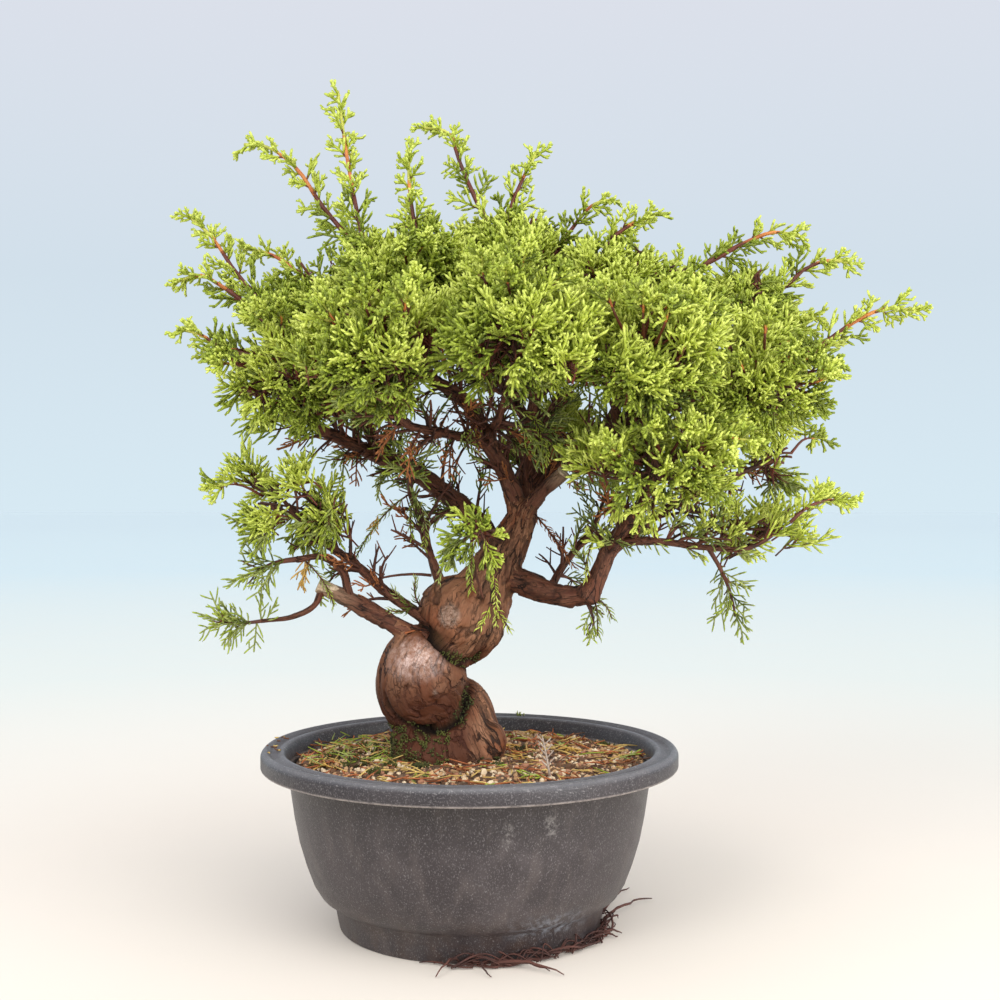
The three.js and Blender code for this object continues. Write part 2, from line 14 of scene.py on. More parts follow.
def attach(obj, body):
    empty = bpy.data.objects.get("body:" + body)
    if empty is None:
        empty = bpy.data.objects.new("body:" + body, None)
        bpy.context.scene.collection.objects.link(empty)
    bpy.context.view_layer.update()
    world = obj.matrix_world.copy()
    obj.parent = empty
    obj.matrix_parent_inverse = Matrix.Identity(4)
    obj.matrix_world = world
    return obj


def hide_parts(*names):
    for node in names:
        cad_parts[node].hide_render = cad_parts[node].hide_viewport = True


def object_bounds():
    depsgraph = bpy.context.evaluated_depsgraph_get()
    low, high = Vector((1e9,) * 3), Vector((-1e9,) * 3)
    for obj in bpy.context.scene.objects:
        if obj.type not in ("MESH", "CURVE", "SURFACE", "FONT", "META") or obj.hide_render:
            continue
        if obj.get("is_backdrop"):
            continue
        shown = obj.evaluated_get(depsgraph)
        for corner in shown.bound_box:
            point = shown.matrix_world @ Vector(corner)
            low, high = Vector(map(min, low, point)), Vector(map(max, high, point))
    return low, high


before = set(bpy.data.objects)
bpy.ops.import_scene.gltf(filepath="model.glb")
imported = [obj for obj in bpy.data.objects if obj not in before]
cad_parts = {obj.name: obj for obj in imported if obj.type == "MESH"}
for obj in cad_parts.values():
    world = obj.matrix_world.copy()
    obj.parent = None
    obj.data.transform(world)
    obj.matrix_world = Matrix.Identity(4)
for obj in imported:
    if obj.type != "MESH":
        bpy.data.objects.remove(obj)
model_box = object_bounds()
noise.seed_set(1)  # so that noise_vector says the same each run

MM = 0.001
UP = np.array([0.0, 0.0, 1.0])
PIECE_LIMIT = 190_000  # triangles
EYE_ACROSS, EYE_OUT, EYE_HIGH = 13, 588, 183  # where the camera stands

# Sizes of the pot and its soil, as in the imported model, but for the foot's height
RIM_RADIUS = 90
POT_HEIGHT = 76.5
POT_WALL = 2.2
FOOT_RADIUS = 58
FOOT_HEIGHT = 12.2
SOIL_LEVEL = 72
SOIL_EDGE_LEVEL = 69

LEAF_MARGIN = 2  # from leaves to wood that isn't their own
SPACE_MARGIN = 0.5  # from leaves to the border of the next mass's space
SIDE_STEM_RADIUS = 1.1  # of a stem that grows out of the side of its bough
NO_MASS = -1

# Places along the middle of the trunk, each with its radius
TRUNK_PATH = [
    (-8, 0, 66, 23.6), (-8, 0, 76, 22), (-6.5, 1, 85, 18.6), (-7, 2, 92.5, 12.8), (-12, 3, 99.5, 10),
    (-15, 2, 108, 12), (-14, 1, 117, 15), (-4, 2, 127, 17), (3.5, 3, 139, 14.5), (10, 3, 151, 11),
    (16, 2, 162, 9.6), (20.5, 1, 171, 7.8), (23.5, 1, 178, 5.2),
]
# The coil's swollen lobes, then the smaller swellings of its foot, its knot and its wart
TRUNK_LOBES = [
    ((-20.5, -5, 105), (19.5, 19, 24.5), 6),
    ((-5, -1, 133), (17.5, 17.5, 17), 35),
    ((-20, -3, 81), (14, 15, 15), 0),
    ((-20, -10, 73), (13, 13, 10), 0),
    ((2, -6, 73), (12.5, 13, 10), 0),
    ((-6, 13, 73), (14, 13, 10), 0),
    ((7, -9, 76), (8, 8, 12), 20),
    ((-2, -15, 74), (8, 7, 9), 0),
    ((-26, -9, 77), (7, 8, 10), 0),
    ((-14, -22.4, 102.6), (3.4, 2.2, 3.8), 0),
    ((-8.5, -17.4, 134), (4.4, 2.2, 4.8), 0),
]

# Each bough: what it grows on, its thick and thin radius, and its path
BOUGHS = {
    "left_stub": ("trunk", 4.2, 3.2, [(-20, -6, 122), (-42, -10, 135), (-53, -12, 141.5),
        (-64, -14, 146.5)]),
    "left_stub_rise": ("left_stub", 2, 1.4, [(-51.5, -12, 141), (-54, -15, 153), (-62, -18, 159),
        (-72, -20, 158)]),
    "lowest_left_twig": ("left_stub", 1.5, 0.9, [(-62.5, -14, 145), (-66, -16, 138), (-75, -16, 133.5),
        (-88, -17, 131.8)]),
    "left_low": ("trunk", 2.8, 1.6, [(-14, -3, 128), (-36.5, -8, 144), (-47, -10, 154), (-66, -12, 168)]),
    "left_riser": ("trunk", 2.5, 1.6, [(-10, 2, 138), (-18, 6, 160), (-22, 8, 174), (-26, 4, 186)]),
    "left_main": ("trunk", 5.6, 2.6, [(14, 3, 156), (2, 18, 174), (-23, 26, 194), (-42, 22, 203),
        (-64, 4, 213)]),
    "left_back": ("left_main", 3, 1.8, [(-23, 26, 194), (-43, 42, 207), (-52, 50, 219)]),
    "left_high": ("left_main", 2.6, 1.7, [(-42, 22, 203), (-50, 20, 226), (-54, 15, 248)]),
    "leader": ("trunk", 4.5, 2.1, [(23, 1, 174), (15, 0, 195), (8, -4, 208), (-2, -8, 226), (-17, -10, 236),
        (-24, -12, 250)]),
    "front_left_bough": ("leader", 2.4, 1.5, [(8, -4, 208), (-10, -22, 211), (-25, -38, 214),
        (-30, -48, 220)]),
    "front_centre_bough": ("leader", 2.3, 1.5, [(6, -5, 211), (12, -28, 216), (16, -48, 228)]),
    "fork_stub": ("trunk", 3.5, 3.1, [(22, 0, 176), (32.5, -6, 187.5), (40, -10, 194.5)]),
    "right_main": ("trunk", 4.4, 2.2, [(23, 4, 173), (29, 14, 187), (42, 21, 200), (60, 24, 212),
        (78, 18, 220), (93, 8, 226)]),
    "centre_riser": ("trunk", 4.2, 2.2, [(24, 3, 175), (25, 16, 195), (27, 22, 215), (29, 18, 238),
        (24, 12, 264)]),
    "right_high": ("centre_riser", 2.6, 1.7, [(28, 20, 230), (46, 14, 246), (58, 6, 256)]),
    "far_right_high": ("right_main", 2.5, 1.7, [(74, 20, 218), (94, 22, 240), (107, 20, 255)]),
    "back_centre_bough": ("centre_riser", 2.8, 1.8, [(27, 22, 217), (17, 38, 231), (11, 48, 243)]),
    "back_right_bough": ("right_main", 2.7, 1.8, [(58, 24, 211), (66, 42, 224), (72, 53, 236)]),
    "back_far_right_bough": ("right_main", 2.5, 1.7, [(70, 21, 217), (92, 33, 218), (106, 43, 220)]),
    "back_low_bough": ("right_main", 2.4, 1.7, [(38, 19, 197), (41, 34, 200), (42, 46, 204)]),
    "front_right_bough": ("right_main", 2.2, 1.5, [(56, 23, 210), (62, 2, 207), (62, -20, 211),
        (60, -36, 221)]),
    "right_low": ("trunk", 6, 4.4, [(14, 2, 151), (32, -8, 144), (43, -14, 142), (51, -17, 143)]),
    "right_low_rise": ("right_low", 4.5, 2.6, [(50, -17, 142), (56, -20, 155), (59, -22, 163),
        (66, -30, 174)]),
    "right_low_out": ("right_low_rise", 1.9, 1.2, [(60, -23, 165), (76, -26, 166), (96, -24, 163.5),
        (113, -20, 162)]),
    "right_low_mid": ("right_low_rise", 2.3, 1.5, [(58, -21, 160), (82, -14, 178), (108, -11, 191)]),
    "right_low_rear": ("right_low", 2, 1.4, [(34, -8, 144), (40, 4, 153), (46.5, 10, 161), (54, 12, 170)]),
}

# Each dense mass: its middle, its half sizes, and the bough whose tip it grows on
DENSE = {
    "crown_left": ((-76, -24, 236), (36, 42, 32), "left_main"),
    "crown_left_high": ((-64, 10, 274), (38, 40, 29), "left_high"),
    "crown_top_left": ((-25, -15, 281), (34, 38, 33), "leader"),
    "crown_top": ((17, 5, 293), (37, 42, 31), "centre_riser"),
    "front_left": ((-30, -66, 238), (36, 35, 31), "front_left_bough"),
    "front_centre": ((19, -72, 246), (37, 34, 32), "front_centre_bough"),
    "crown_right_high": ((73, 0, 276), (38, 42, 29), "right_high"),
    "crown_far_right_high": ((122, 15, 270), (37, 40, 30), "far_right_high"),
    "front_right": ((69, -60, 238), (38, 36, 30), "front_right_bough"),
    "crown_right": ((123, -20, 232), (34, 40, 31), "right_main"),
    "crown_right_low": ((133, -8, 201), (28, 34, 25), "right_low_mid"),
    "low_right": ((78, -52, 197), (39, 33, 26), "right_low_rise"),
    "low_far_right": ((132, -16, 171), (31, 26, 17), "right_low_out"),
    "low_left": ((-79, -14, 183), (29, 29, 26), "left_low"),
    "back_left": ((-64, 61, 241), (42, 41, 33), "left_back"),
    "back_centre": ((4, 67, 266), (43, 43, 34), "back_centre_bough"),
    "back_right": ((77, 70, 257), (42, 43, 33), "back_right_bough"),
    "back_far_right": ((127, 57, 227), (35, 39, 31), "back_far_right_bough"),
    "back_low": ((42, 66, 208), (40, 34, 26), "back_low_bough"),
}
# Each loose mass: its middle, its half sizes, its bough and the share of it where the stem
# starts, the stem's tip, and the count and length of its sprays
LOOSE = {
    "hanging_right": ((110, -21, 148), (15, 10, 15), "right_low_out", 0.75, (112, -20, 134), 6, 13),
    "under_right": ((53, -20, 134), (8, 6, 8), "right_low", 0.93, (52, -22, 130), 2, 9),
    "low_left_under": ((-82, -20, 158), (18, 16, 11), "left_stub_rise", 1, (-91, -20, 152), 6, 14),
    "lowest_left": ((-98, -18, 130), (15, 12, 14), "lowest_left_twig", 1, (-105, -18, 132), 7, 11.5),
    "trunk_front": ((-6, -52, 182), (15, 9, 22), "trunk", 0.86, (6, -36, 143), 9, 15),
    "inner_left": ((-24, -6, 196), (16, 13, 13), "left_riser", 1, (-26, -10, 204), 6, 14),
    "inner_centre": ((28, -32, 212), (13, 11, 14), "front_centre_bough", 0.5, (36, -34, 206), 6, 14),
    "inner_right": ((58, 14, 182), (13, 13, 12), "right_low_rear", 1, (62, 14, 188), 6, 14),
}
# Each long shoot: the mass that it stands out of, how much of it is orange, and its course
SHOOTS = [
    ("crown_top_left", 0.6, [(-33, -34, 260), (-39, -31, 275), (-44, -28, 292), (-49, -26, 316),
     (-52, -23, 333), (-55.6, -20, 358)]),
    ("crown_left_high", 0.8, [(-44, -14, 284), (-51, -12, 294), (-64, -10, 310), (-74, -8, 325),
     (-87, -6, 335), (-100, -4, 337)]),
    ("crown_left_high", 0.3, [(-84, -6, 260), (-92, -5, 271), (-101, -4, 281), (-112, -3, 297),
     (-123, -2, 307)]),
    ("crown_left_high", 1.0, [(-89, -8, 264), (-98, -9, 269), (-107, -11, 275), (-115, -12, 279),
     (-126, -14, 275)]),
    ("crown_left_high", 0.7, [(-52, 6, 271), (-62, 7, 276), (-75, 9, 283), (-89, 10, 292),
     (-103, 12, 295)]),
    ("crown_left", 0.2, [(-92, -28, 237), (-101, -30, 243), (-108, -32, 250), (-118, -34, 253)]),
    ("crown_top_left", 0.1, [(-16, -20, 267), (-19, -21, 283), (-23, -22, 300), (-25, -23, 315),
     (-25, -24, 331)]),
    ("crown_top", 0.0, [(9, 0, 300), (3, 2, 313), (-4, 3, 329), (-10, 4, 344), (-23, 6, 347)]),
    ("crown_top", 0.0, [(12, 10, 294), (16, 13, 308), (22, 15, 324), (30, 18, 340)]),
    ("crown_top", 0.1, [(34, 4, 287), (40, 3, 295), (47, 2, 305), (54, 1, 312), (62, 0, 314)]),
    ("crown_top", 0.0, [(47, -6, 274), (55, -8, 285), (64, -10, 298), (73, -12, 302), (81, -14, 305)]),
    ("crown_right_high", 0.9, [(101, 10, 286), (109, 9, 290), (120, 8, 296), (134, 7, 301), (148, 6, 298)]),
    ("crown_far_right_high", 0.1, [(125, 12, 267), (130, 11, 271), (139, 10, 277), (149, 10, 286),
     (160, 9, 289), (170, 8, 287)]),
    ("crown_far_right_high", 0.8, [(126, 2, 249), (132, 1, 254), (139, 0, 260), (146, -1, 263),
     (153, -2, 261)]),
    ("crown_right", 1.0, [(138, -24, 241), (144, -25, 245), (153, -26, 252), (162, -28, 258),
     (172, -29, 262), (188, -30, 261)]),
    ("low_right", 0.2, [(130, -44, 174), (137, -43, 180), (146, -41, 183), (156, -40, 182)]),
    ("back_left", 0.5, [(-76, 66, 250), (-92, 76, 266), (-104, 82, 278)]),
    ("back_centre", 0.2, [(2, 72, 280), (-1, 80, 302), (-8, 88, 320)]),
    ("back_centre", 0.5, [(18, 84, 270), (26, 96, 284), (30, 102, 300)]),
    ("back_right", 0.1, [(86, 76, 270), (97, 88, 292), (104, 98, 306)]),
    ("back_far_right", 0.8, [(137, 62, 235), (154, 74, 249), (168, 80, 253)]),
]
# The crown's top without its shoots, as it is seen from the front: across and up
TOP_LINE = [
    (-113, 246), (-104, 248), (-96, 268), (-78, 272), (-61, 276), (-52, 290), (-35, 291), (-26, 299),
    (-17, 300), (-9, 294), (0, 293), (9, 300), (17, 300), (35, 297), (61, 296), (70, 289), (78, 280),
    (87, 273), (96, 275), (104, 279), (122, 277), (131, 268), (139, 252), (148, 246), (157, 240),
]
# Where wood or sky is seen through the leaves from the front: across, up, how far round it is clear,
# and back to what depth
CLEARINGS = [
    (-18, 237, 7, 4), (-8, 238, 5, 4), (42, 196, 8, 4), (36, 190, 5, 4), (15, 206, 6, 4), (9, 216, 6, 4),
    (0, 226, 6, 4), (-9, 231, 6, 4), (30, 204, 4, 4), (93, 222, 6, 200), (128, 204, 4, 200),
    (143, 193, 6, 200), (117, 193, 5, 200), (104, 181, 4, 200), (83, 184, 3, 200), (152, 198, 7, 200),
    (57, 217, 5, 200), (51, 227, 5, 200), (29, 227, 5, 200), (124, 182, 4, 200), (-88, 202, 6, 200),
    (-36, 205, 5, 200), (68, 181, 3, 200), (87, 179, 3, 200), (104, 199, 2.5, 200), (113, 198, 3, 200),
]


def place(*numbers):
    return np.array(numbers, float)


def unit(vector):
    return vector / max(np.linalg.norm(vector), 1e-9)


def lerp(a, b, share):
    return a + (b - a) * share


def clamp(amount):
    return max(0.0, min(1.0, amount))


def about(turn, rise=0.0):
    """A heading at a turn about the upright, with some rise."""
    return place(math.cos(turn), math.sin(turn), rise)


def fraction(x):
    return x - math.floor(x)


def seeded(k, stream):
    """The k-th seeded number between 0 and 1 of a stream, as in the model's source."""
    return fraction(math.sin(k * 12.9898 + stream * 78.233 + 4.1) * 43758.5453)


def spread(k, lowest):
    """The k-th direction of an even spread over the sphere, down to a lowest height."""
    height = lowest + (1 - lowest) * fraction(0.5 + (k + 1) * 0.7548776662)
    turn = math.tau * fraction(0.5 + (k + 1) * 0.5698402909)
    return about(turn) * math.sqrt(1 - height * height) + UP * height


def square_to(heading, turn=0.0):
    """A direction square to a heading, level at first and turned about it by an angle."""
    level = place(-heading[1], heading[0], 0)
    if np.linalg.norm(level) < 1e-2:
        level = place(1, 0, 0)
    level = unit(level - heading * level.dot(heading))
    return level * math.cos(turn) + np.cross(heading, level) * math.sin(turn)


def seen(spot):
    """Where the camera sees a place, across and up on the upright plane through the pot's middle."""
    near = EYE_OUT / (EYE_OUT + spot[1])
    return lerp(EYE_ACROSS, spot[0], near), lerp(EYE_HIGH, spot[2], near)


def under_top(spot, margin):
    """A place brought down under the crown's top line."""
    across, high = seen(spot)
    low = max(0, high + margin - np.interp(across, *zip(*TOP_LINE)))
    return spot - UP * low * (EYE_OUT + spot[1]) / EYE_OUT


def in_clearing(*spots):
    """Whether any of some places is in front of one of the clearings."""
    for spot in spots:
        across, high = seen(spot)
        for x, z, wide, deep in CLEARINGS:
            if math.hypot(across - x, high - z) < wide and spot[1] < deep:
                return True
    return False


class Course:
    """A smooth line, read by the share of its length, with a side that turns as little as it can."""

    def __init__(self, places):
        self.places = np.array(places, float)
        steps = np.linalg.norm(np.diff(self.places, axis=0), axis=1)
        self.length = steps.sum()
        self.shares = np.append(0, np.cumsum(steps)) / self.length
        ahead = np.gradient(self.places, axis=0)
        self.aheads = ahead / np.linalg.norm(ahead, axis=1)[:, None]
        side = square_to(self.aheads[0])
        self.sides = np.empty_like(self.aheads)
        for k, heading in enumerate(self.aheads):
            side = unit(side - heading * side.dot(heading))
            self.sides[k] = side

    def read(self, rows, share):
        return np.stack([np.interp(share, self.shares, rows[:, k]) for k in range(3)], axis=-1)

    def at(self, share):
        return self.read(self.places, share)

    def heading(self, share):
        return unit(self.read(self.aheads, share))

    def side(self, share):
        return unit(self.read(self.sides, share))


def through(points, steps=28):
    """A centripetal Catmull-Rom course through some points."""
    p = [Vector(point[:3]) for point in points]
    p = [2 * p[0] - p[1], *p, 2 * p[-1] - p[-2]]
    places = []
    for a, b, c, d in zip(p, p[1:], p[2:], p[3:]):
        before, span, after = (math.sqrt((v - u).length) for u, v in ((a, b), (b, c), (c, d)))
        leave = ((b - a) / before - (c - a) / (before + span) + (c - b) / span) * span
        arrive = ((c - b) / span - (d - b) / (span + after) + (d - c) / after) * span
        for k in range(steps):
            t = k / steps
            blend = (2 * t**3 - 3 * t**2 + 1) * b + (3 * t**2 - 2 * t**3) * c
            places.append(blend + (t**3 - 2 * t**2 + t) * leave + (t**3 - t**2) * arrive)
    return Course([*places, p[-2]])


def bent(*points, steps=24):
    """A Bezier course with three or four points."""
    t = np.linspace(0, 1, steps + 1)[:, None]
    rows = [place(*p) for p in points]
    while len(rows) > 1:
        rows = [a * (1 - t) + b * t for a, b in zip(rows, rows[1:])]
    return Course(rows[0])


trunk_course = through(TRUNK_PATH)
trunk_radii = [row[3] for row in TRUNK_PATH]


def trunk_radius(share):
    return np.interp(share * (len(trunk_radii) - 1), range(len(trunk_radii)), trunk_radii)


bough_courses = {name: through(row[3]) for name, row in BOUGHS.items()}
MASSES = {**DENSE, **LOOSE}
mass_middles = np.array([row[0] for row in MASSES.values()], float)
mass_sizes = np.array([row[1] for row in MASSES.values()], float)
mass_reach = mass_sizes.mean(axis=1)


def stem_of(name):
    """A mass's stem: from the tip of its bough, or out of the side of what it grows from."""
    middle, _, on, *more = MASSES[name]
    hub = place(*middle)
    share = more[0] if more else 1
    carrier = trunk_course if on == "trunk" else bough_courses[on]
    start = carrier.at(share)
    reach = np.linalg.norm(hub - start)
    heading = unit(hub - start)
    if share == 1:
        heading = carrier.heading(1)
        start = start - heading
    bend = start + heading * reach * 0.4
    return bent(start, bend, hub, more[1]) if more else bent(start, bend, hub)


stems = {name: stem_of(name) for name in MASSES}


def stem_radius(name):
    _, _, on, *more = MASSES[name]
    return SIDE_STEM_RADIUS if more and more[0] < 1 else BOUGHS[on][2]


def lengths_of(course, radius_at, count, owner):
    """A limb as straight lengths: their ends, their radii there and the mass that owns them."""
    shares = np.linspace(0, 1, count + 1)
    rows = course.at(shares)
    radii = [radius_at(share) for share in shares]
    return [(rows[k], rows[k + 1], radii[k], radii[k + 1], owner) for k in range(count)]


wood = lengths_of(trunk_course, trunk_radius, 12, NO_MASS)
for bough, (_, thick, thin, _) in BOUGHS.items():
    wood += lengths_of(bough_courses[bough], lambda t, a=thick, b=thin: lerp(a, b, t), 6, NO_MASS)
for number, name in enumerate(MASSES):
    wood += lengths_of(stems[name], lambda t, r=stem_radius(name): r, 4, number)
wood_from = np.array([row[0] for row in wood])
wood_run = np.array([row[1] - row[0] for row in wood])
wood_radii = np.array([row[2:4] for row in wood])
wood_owner = np.array([row[4] for row in wood])
wood_square = (wood_run**2).sum(axis=1)


def fits(points, number):
    """Whether points are in a mass's own space and clear of all the wood but its own stem."""
    points = np.atleast_2d(points)
    gaps = ((points[:, None] - mass_middles) ** 2).sum(axis=2) - mass_reach**2
    apart = np.linalg.norm(mass_middles - mass_middles[number], axis=1)
    room = gaps - gaps[:, [number]] - 2 * SPACE_MARGIN * apart
    room[:, number] = 1
    if (room <= 0).any():
        return False
    away = points[:, None] - wood_from
    t = np.clip((away * wood_run).sum(axis=2) / wood_square, 0, 1)
    near = np.linalg.norm(away - wood_run * t[..., None], axis=2)
    clear = near > lerp(wood_radii[:, 0], wood_radii[:, 1], t) + LEAF_MARGIN
    return bool((clear | (wood_owner == number)).all())


def drawn_in(number, heading, share):
    """How far out a mass may reach along a heading, as a share of its half sizes."""
    while share > 0.1 and not fits(mass_middles[number] + heading * share, number):
        share -= 0.04
    return share


class Heap:
    """Many small closed shapes of one kind, kept as arrays until they are joined into pieces."""

    def __init__(self):
        self.rods = {}

    def add(self, lines, radii, sides=3):
        """Round rods through rows of places, with their radii. A last radius of 0 makes a point."""
        self.rods.setdefault((lines.shape[1], sides, radii[0, -1] == 0), []).append((lines, radii))

    def rod(self, places, radii, sides=3):
        self.add(np.array([places], float), np.array([radii], float), sides)

    def meshed(self):
        """The corners and the faces of all the rods."""
        corners, faces, count = [], [], 0
        for (steps, sides, pointed), rows in self.rods.items():
            line = np.concatenate([row[0] for row in rows])
            radii = np.concatenate([row[1] for row in rows])
            ahead = line[:, -1] - line[:, 0]
            ahead /= np.linalg.norm(ahead, axis=1)[:, None] + 1e-9
            level = np.cross(ahead, np.where(abs(ahead[:, [2]]) > 0.8, [[1.0, 0, 0]], [[0, 0, 1.0]]))
            level /= np.linalg.norm(level, axis=1)[:, None]
            rise = np.cross(ahead, level)
            turn = math.tau * np.arange(sides) / sides
            ring = level[:, None] * np.cos(turn)[:, None] + rise[:, None] * np.sin(turn)[:, None]
            rings = steps - 1 if pointed else steps
            body = line[:, :rings, None] + ring[:, None] * radii[:, :rings, None, None]
            body = body.reshape(len(line), -1, 3)
            if pointed:
                body = np.concatenate([body, line[:, -1:]], axis=1)
            plan = []
            for k in range(sides):
                after = (k + 1) % sides
                for step in range(rings - 1):
                    low, high = step * sides, (step + 1) * sides
                    plan += [(low + k, low + after, high + after), (low + k, high + after, high + k)]
                if pointed:
                    plan.append(((rings - 1) * sides + k, (rings - 1) * sides + after, rings * sides))
            for k in range(1, sides - 1):
                plan.append((0, k + 1, k))
                if not pointed:
                    last = (rings - 1) * sides
                    plan.append((last, last + k, last + k + 1))
            each = body.shape[1]
            starts = count + each * np.arange(len(line))
            corners.append(body.reshape(-1, 3))
            faces.append((np.array(plan)[None] + starts[:, None, None]).reshape(-1, 3))
            count += each * len(line)
        return np.concatenate(corners), np.concatenate(faces)


heaps = {}


def heap_for(kind, group):
    return heaps.setdefault((kind, group), Heap())


def finished(piece, slot, *nodes):
    """Puts a piece on the plant's one body and hides the model's nodes that it stands for. Its slot is not
    used.
    """
    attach(piece, "root")
    if nodes:
        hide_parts(*nodes)
    return piece


def shown(mesh, material):
    mesh.materials.append(material)
    piece = bpy.data.objects.new(mesh.name, mesh)
    bpy.context.scene.collection.objects.link(piece)
    return piece


def piece_of(name, corners, faces, material, smooth=True):
    """A finished piece from corners in millimetres and triangles."""
    mesh = bpy.data.meshes.new(name)
    mesh.vertices.add(len(corners))
    mesh.vertices.foreach_set("co", np.ascontiguousarray(corners * MM, np.float32).ravel())
    mesh.loops.add(faces.size)
    mesh.loops.foreach_set("vertex_index", faces.astype(np.int32).ravel())
    mesh.polygons.add(len(faces))
    mesh.polygons.foreach_set("loop_start", np.arange(0, faces.size, 3, dtype=np.int32))
    mesh.update(calc_edges=True)
    mesh.polygons.foreach_set("use_smooth", np.full(len(faces), smooth))
    return shown(mesh, material)


def piece_from(name, bm, material):
    """A finished piece from a bmesh in millimetres."""
    bmesh.ops.scale(bm, vec=(MM, MM, MM), verts=bm.verts)
    for face in bm.faces:
        face.smooth = True
    mesh = bpy.data.meshes.new(name)
    bm.to_mesh(mesh)
    bm.free()
    return shown(mesh, material)


class Amount:
    """A value in a finish, so that sums on it can be written plainly."""

    def __init__(self, finish, socket):
        self.finish = finish
        self.socket = socket

    def sum_with(self, operation, first, second):
        return self.finish.node("ShaderNodeMath", {"operation": operation}, {0: first, 1: second})

    def __add__(self, other):
        return self.sum_with("ADD", self, other)

    def __sub__(self, other):
        return self.sum_with("SUBTRACT", self, other)

    def __rsub__(self, other):
        return self.sum_with("SUBTRACT", other, self)

    def __mul__(self, other):
        return self.sum_with("MULTIPLY", self, other)

    __radd__ = __add__
    __rmul__ = __mul__


def paint(red, green, blue):
    """A base colour from how it looks on a screen, each part from 0 to 255."""
    parts = [part / 255 for part in (red, green, blue)]
    return (*(p / 12.92 if p <= 0.04045 else ((p + 0.055) / 1.055) ** 2.4 for p in parts), 1)


class Finish:
    """A material in the making. Patterns are in millimetres on the model."""

    def __init__(self, name):
        self.material = bpy.data.materials.new(name)
        self.material.use_nodes = True
        self.nodes = self.material.node_tree.nodes
        self.links = self.material.node_tree.links
        self.nodes.clear()
        where = self.node("ShaderNodeTexCoord", output="Object")
        self.where = self.node("ShaderNodeMapping", values={"Vector": where, "Scale": (1 / MM,) * 3})

    def node(self, kind, settings=None, values=None, output=0):
        made = self.nodes.new(kind)
        for key, value in (settings or {}).items():
            setattr(made, key, value)
        for key, value in (values or {}).items():
            if isinstance(value, Amount):
                self.links.new(value.socket, made.inputs[key])
            else:
                made.inputs[key].default_value = value
        return Amount(self, made.outputs[output])

    def cloud(self, size, detail=2.0, rough=0.5, where=None):
        """Soft patches about a size in millimetres across, from 0 to 1."""
        values = {"Vector": where or self.where, "Scale": 1 / size, "Detail": detail, "Roughness": rough}
        return self.node("ShaderNodeTexNoise", values=values)

    def between(self, amount, low, high):
        """0 where an amount is below low, 1 where it is above high."""
        values = {"Value": amount, "From Min": low, "From Max": high}
        return self.node("ShaderNodeMapRange", values=values)

    def tinted(self, share, first, second):
        """The first colour, with a share of the second."""
        sockets = {0: share, 6: first, 7: second}
        return self.node("ShaderNodeMix", {"data_type": "RGBA"}, sockets, output=2)

    def layered(self, colour, *layers):
        """A colour with others laid over it, each with its share."""
        for share, tone in layers:
            colour = self.tinted(share, colour, paint(*tone))
        return colour

    def trait(self, name, output="Fac"):
        """A value that is kept on the mesh."""
        return self.node("ShaderNodeAttribute", {"attribute_name": name}, output=output)

    def stretched(self, where, x, y, z):
        return self.node("ShaderNodeMapping", values={"Vector": where, "Scale": (x, y, z)})

    def measured(self, vector):
        return self.node("ShaderNodeVectorMath", {"operation": "LENGTH"}, {0: vector}, output="Value")

    def along(self, axis):
        return self.node("ShaderNodeSeparateXYZ", values={0: self.where}, output=axis)

    def plates(self, where, scale, output="Distance"):
        """Broken plates: how near a spot is to their edges, or a tone for each."""
        settings = {"feature": "DISTANCE_TO_EDGE"} if output == "Distance" else None
        return self.node("ShaderNodeTexVoronoi", settings, {"Vector": where, "Scale": scale}, output)

    def done(self, colour, rough, height=None, depth=0.2, **sockets):
        """The finish, with its relief given as a height from 0 to 1 and a depth in millimetres."""
        values = {"Base Color": colour, "Roughness": rough}
        values.update({key.replace("_", " "): value for key, value in sockets.items()})
        if height is not None:
            bump = {"Height": height, "Distance": depth * MM, "Strength": 1.0}
            values["Normal"] = self.node("ShaderNodeBump", values=bump)
        shader = self.node("ShaderNodeBsdfPrincipled", values=values)
        result = self.nodes.new("ShaderNodeOutputMaterial")
        self.links.new(shader.socket, result.inputs["Surface"])
        return self.material


def leaf_finish(name, base, fresh, rough=0.5):
    """Scale leaves: one green for a whole spray, a little uneven."""
    finish = Finish(name)
    patch = finish.between(finish.cloud(9, 2), 0.35, 0.65)
    scales = finish.cloud(0.8, 1)
    colour = finish.tinted(patch, paint(*base), paint(*fresh))
    return finish.done(colour, rough + 0.15 * scales, scales, 0.12)


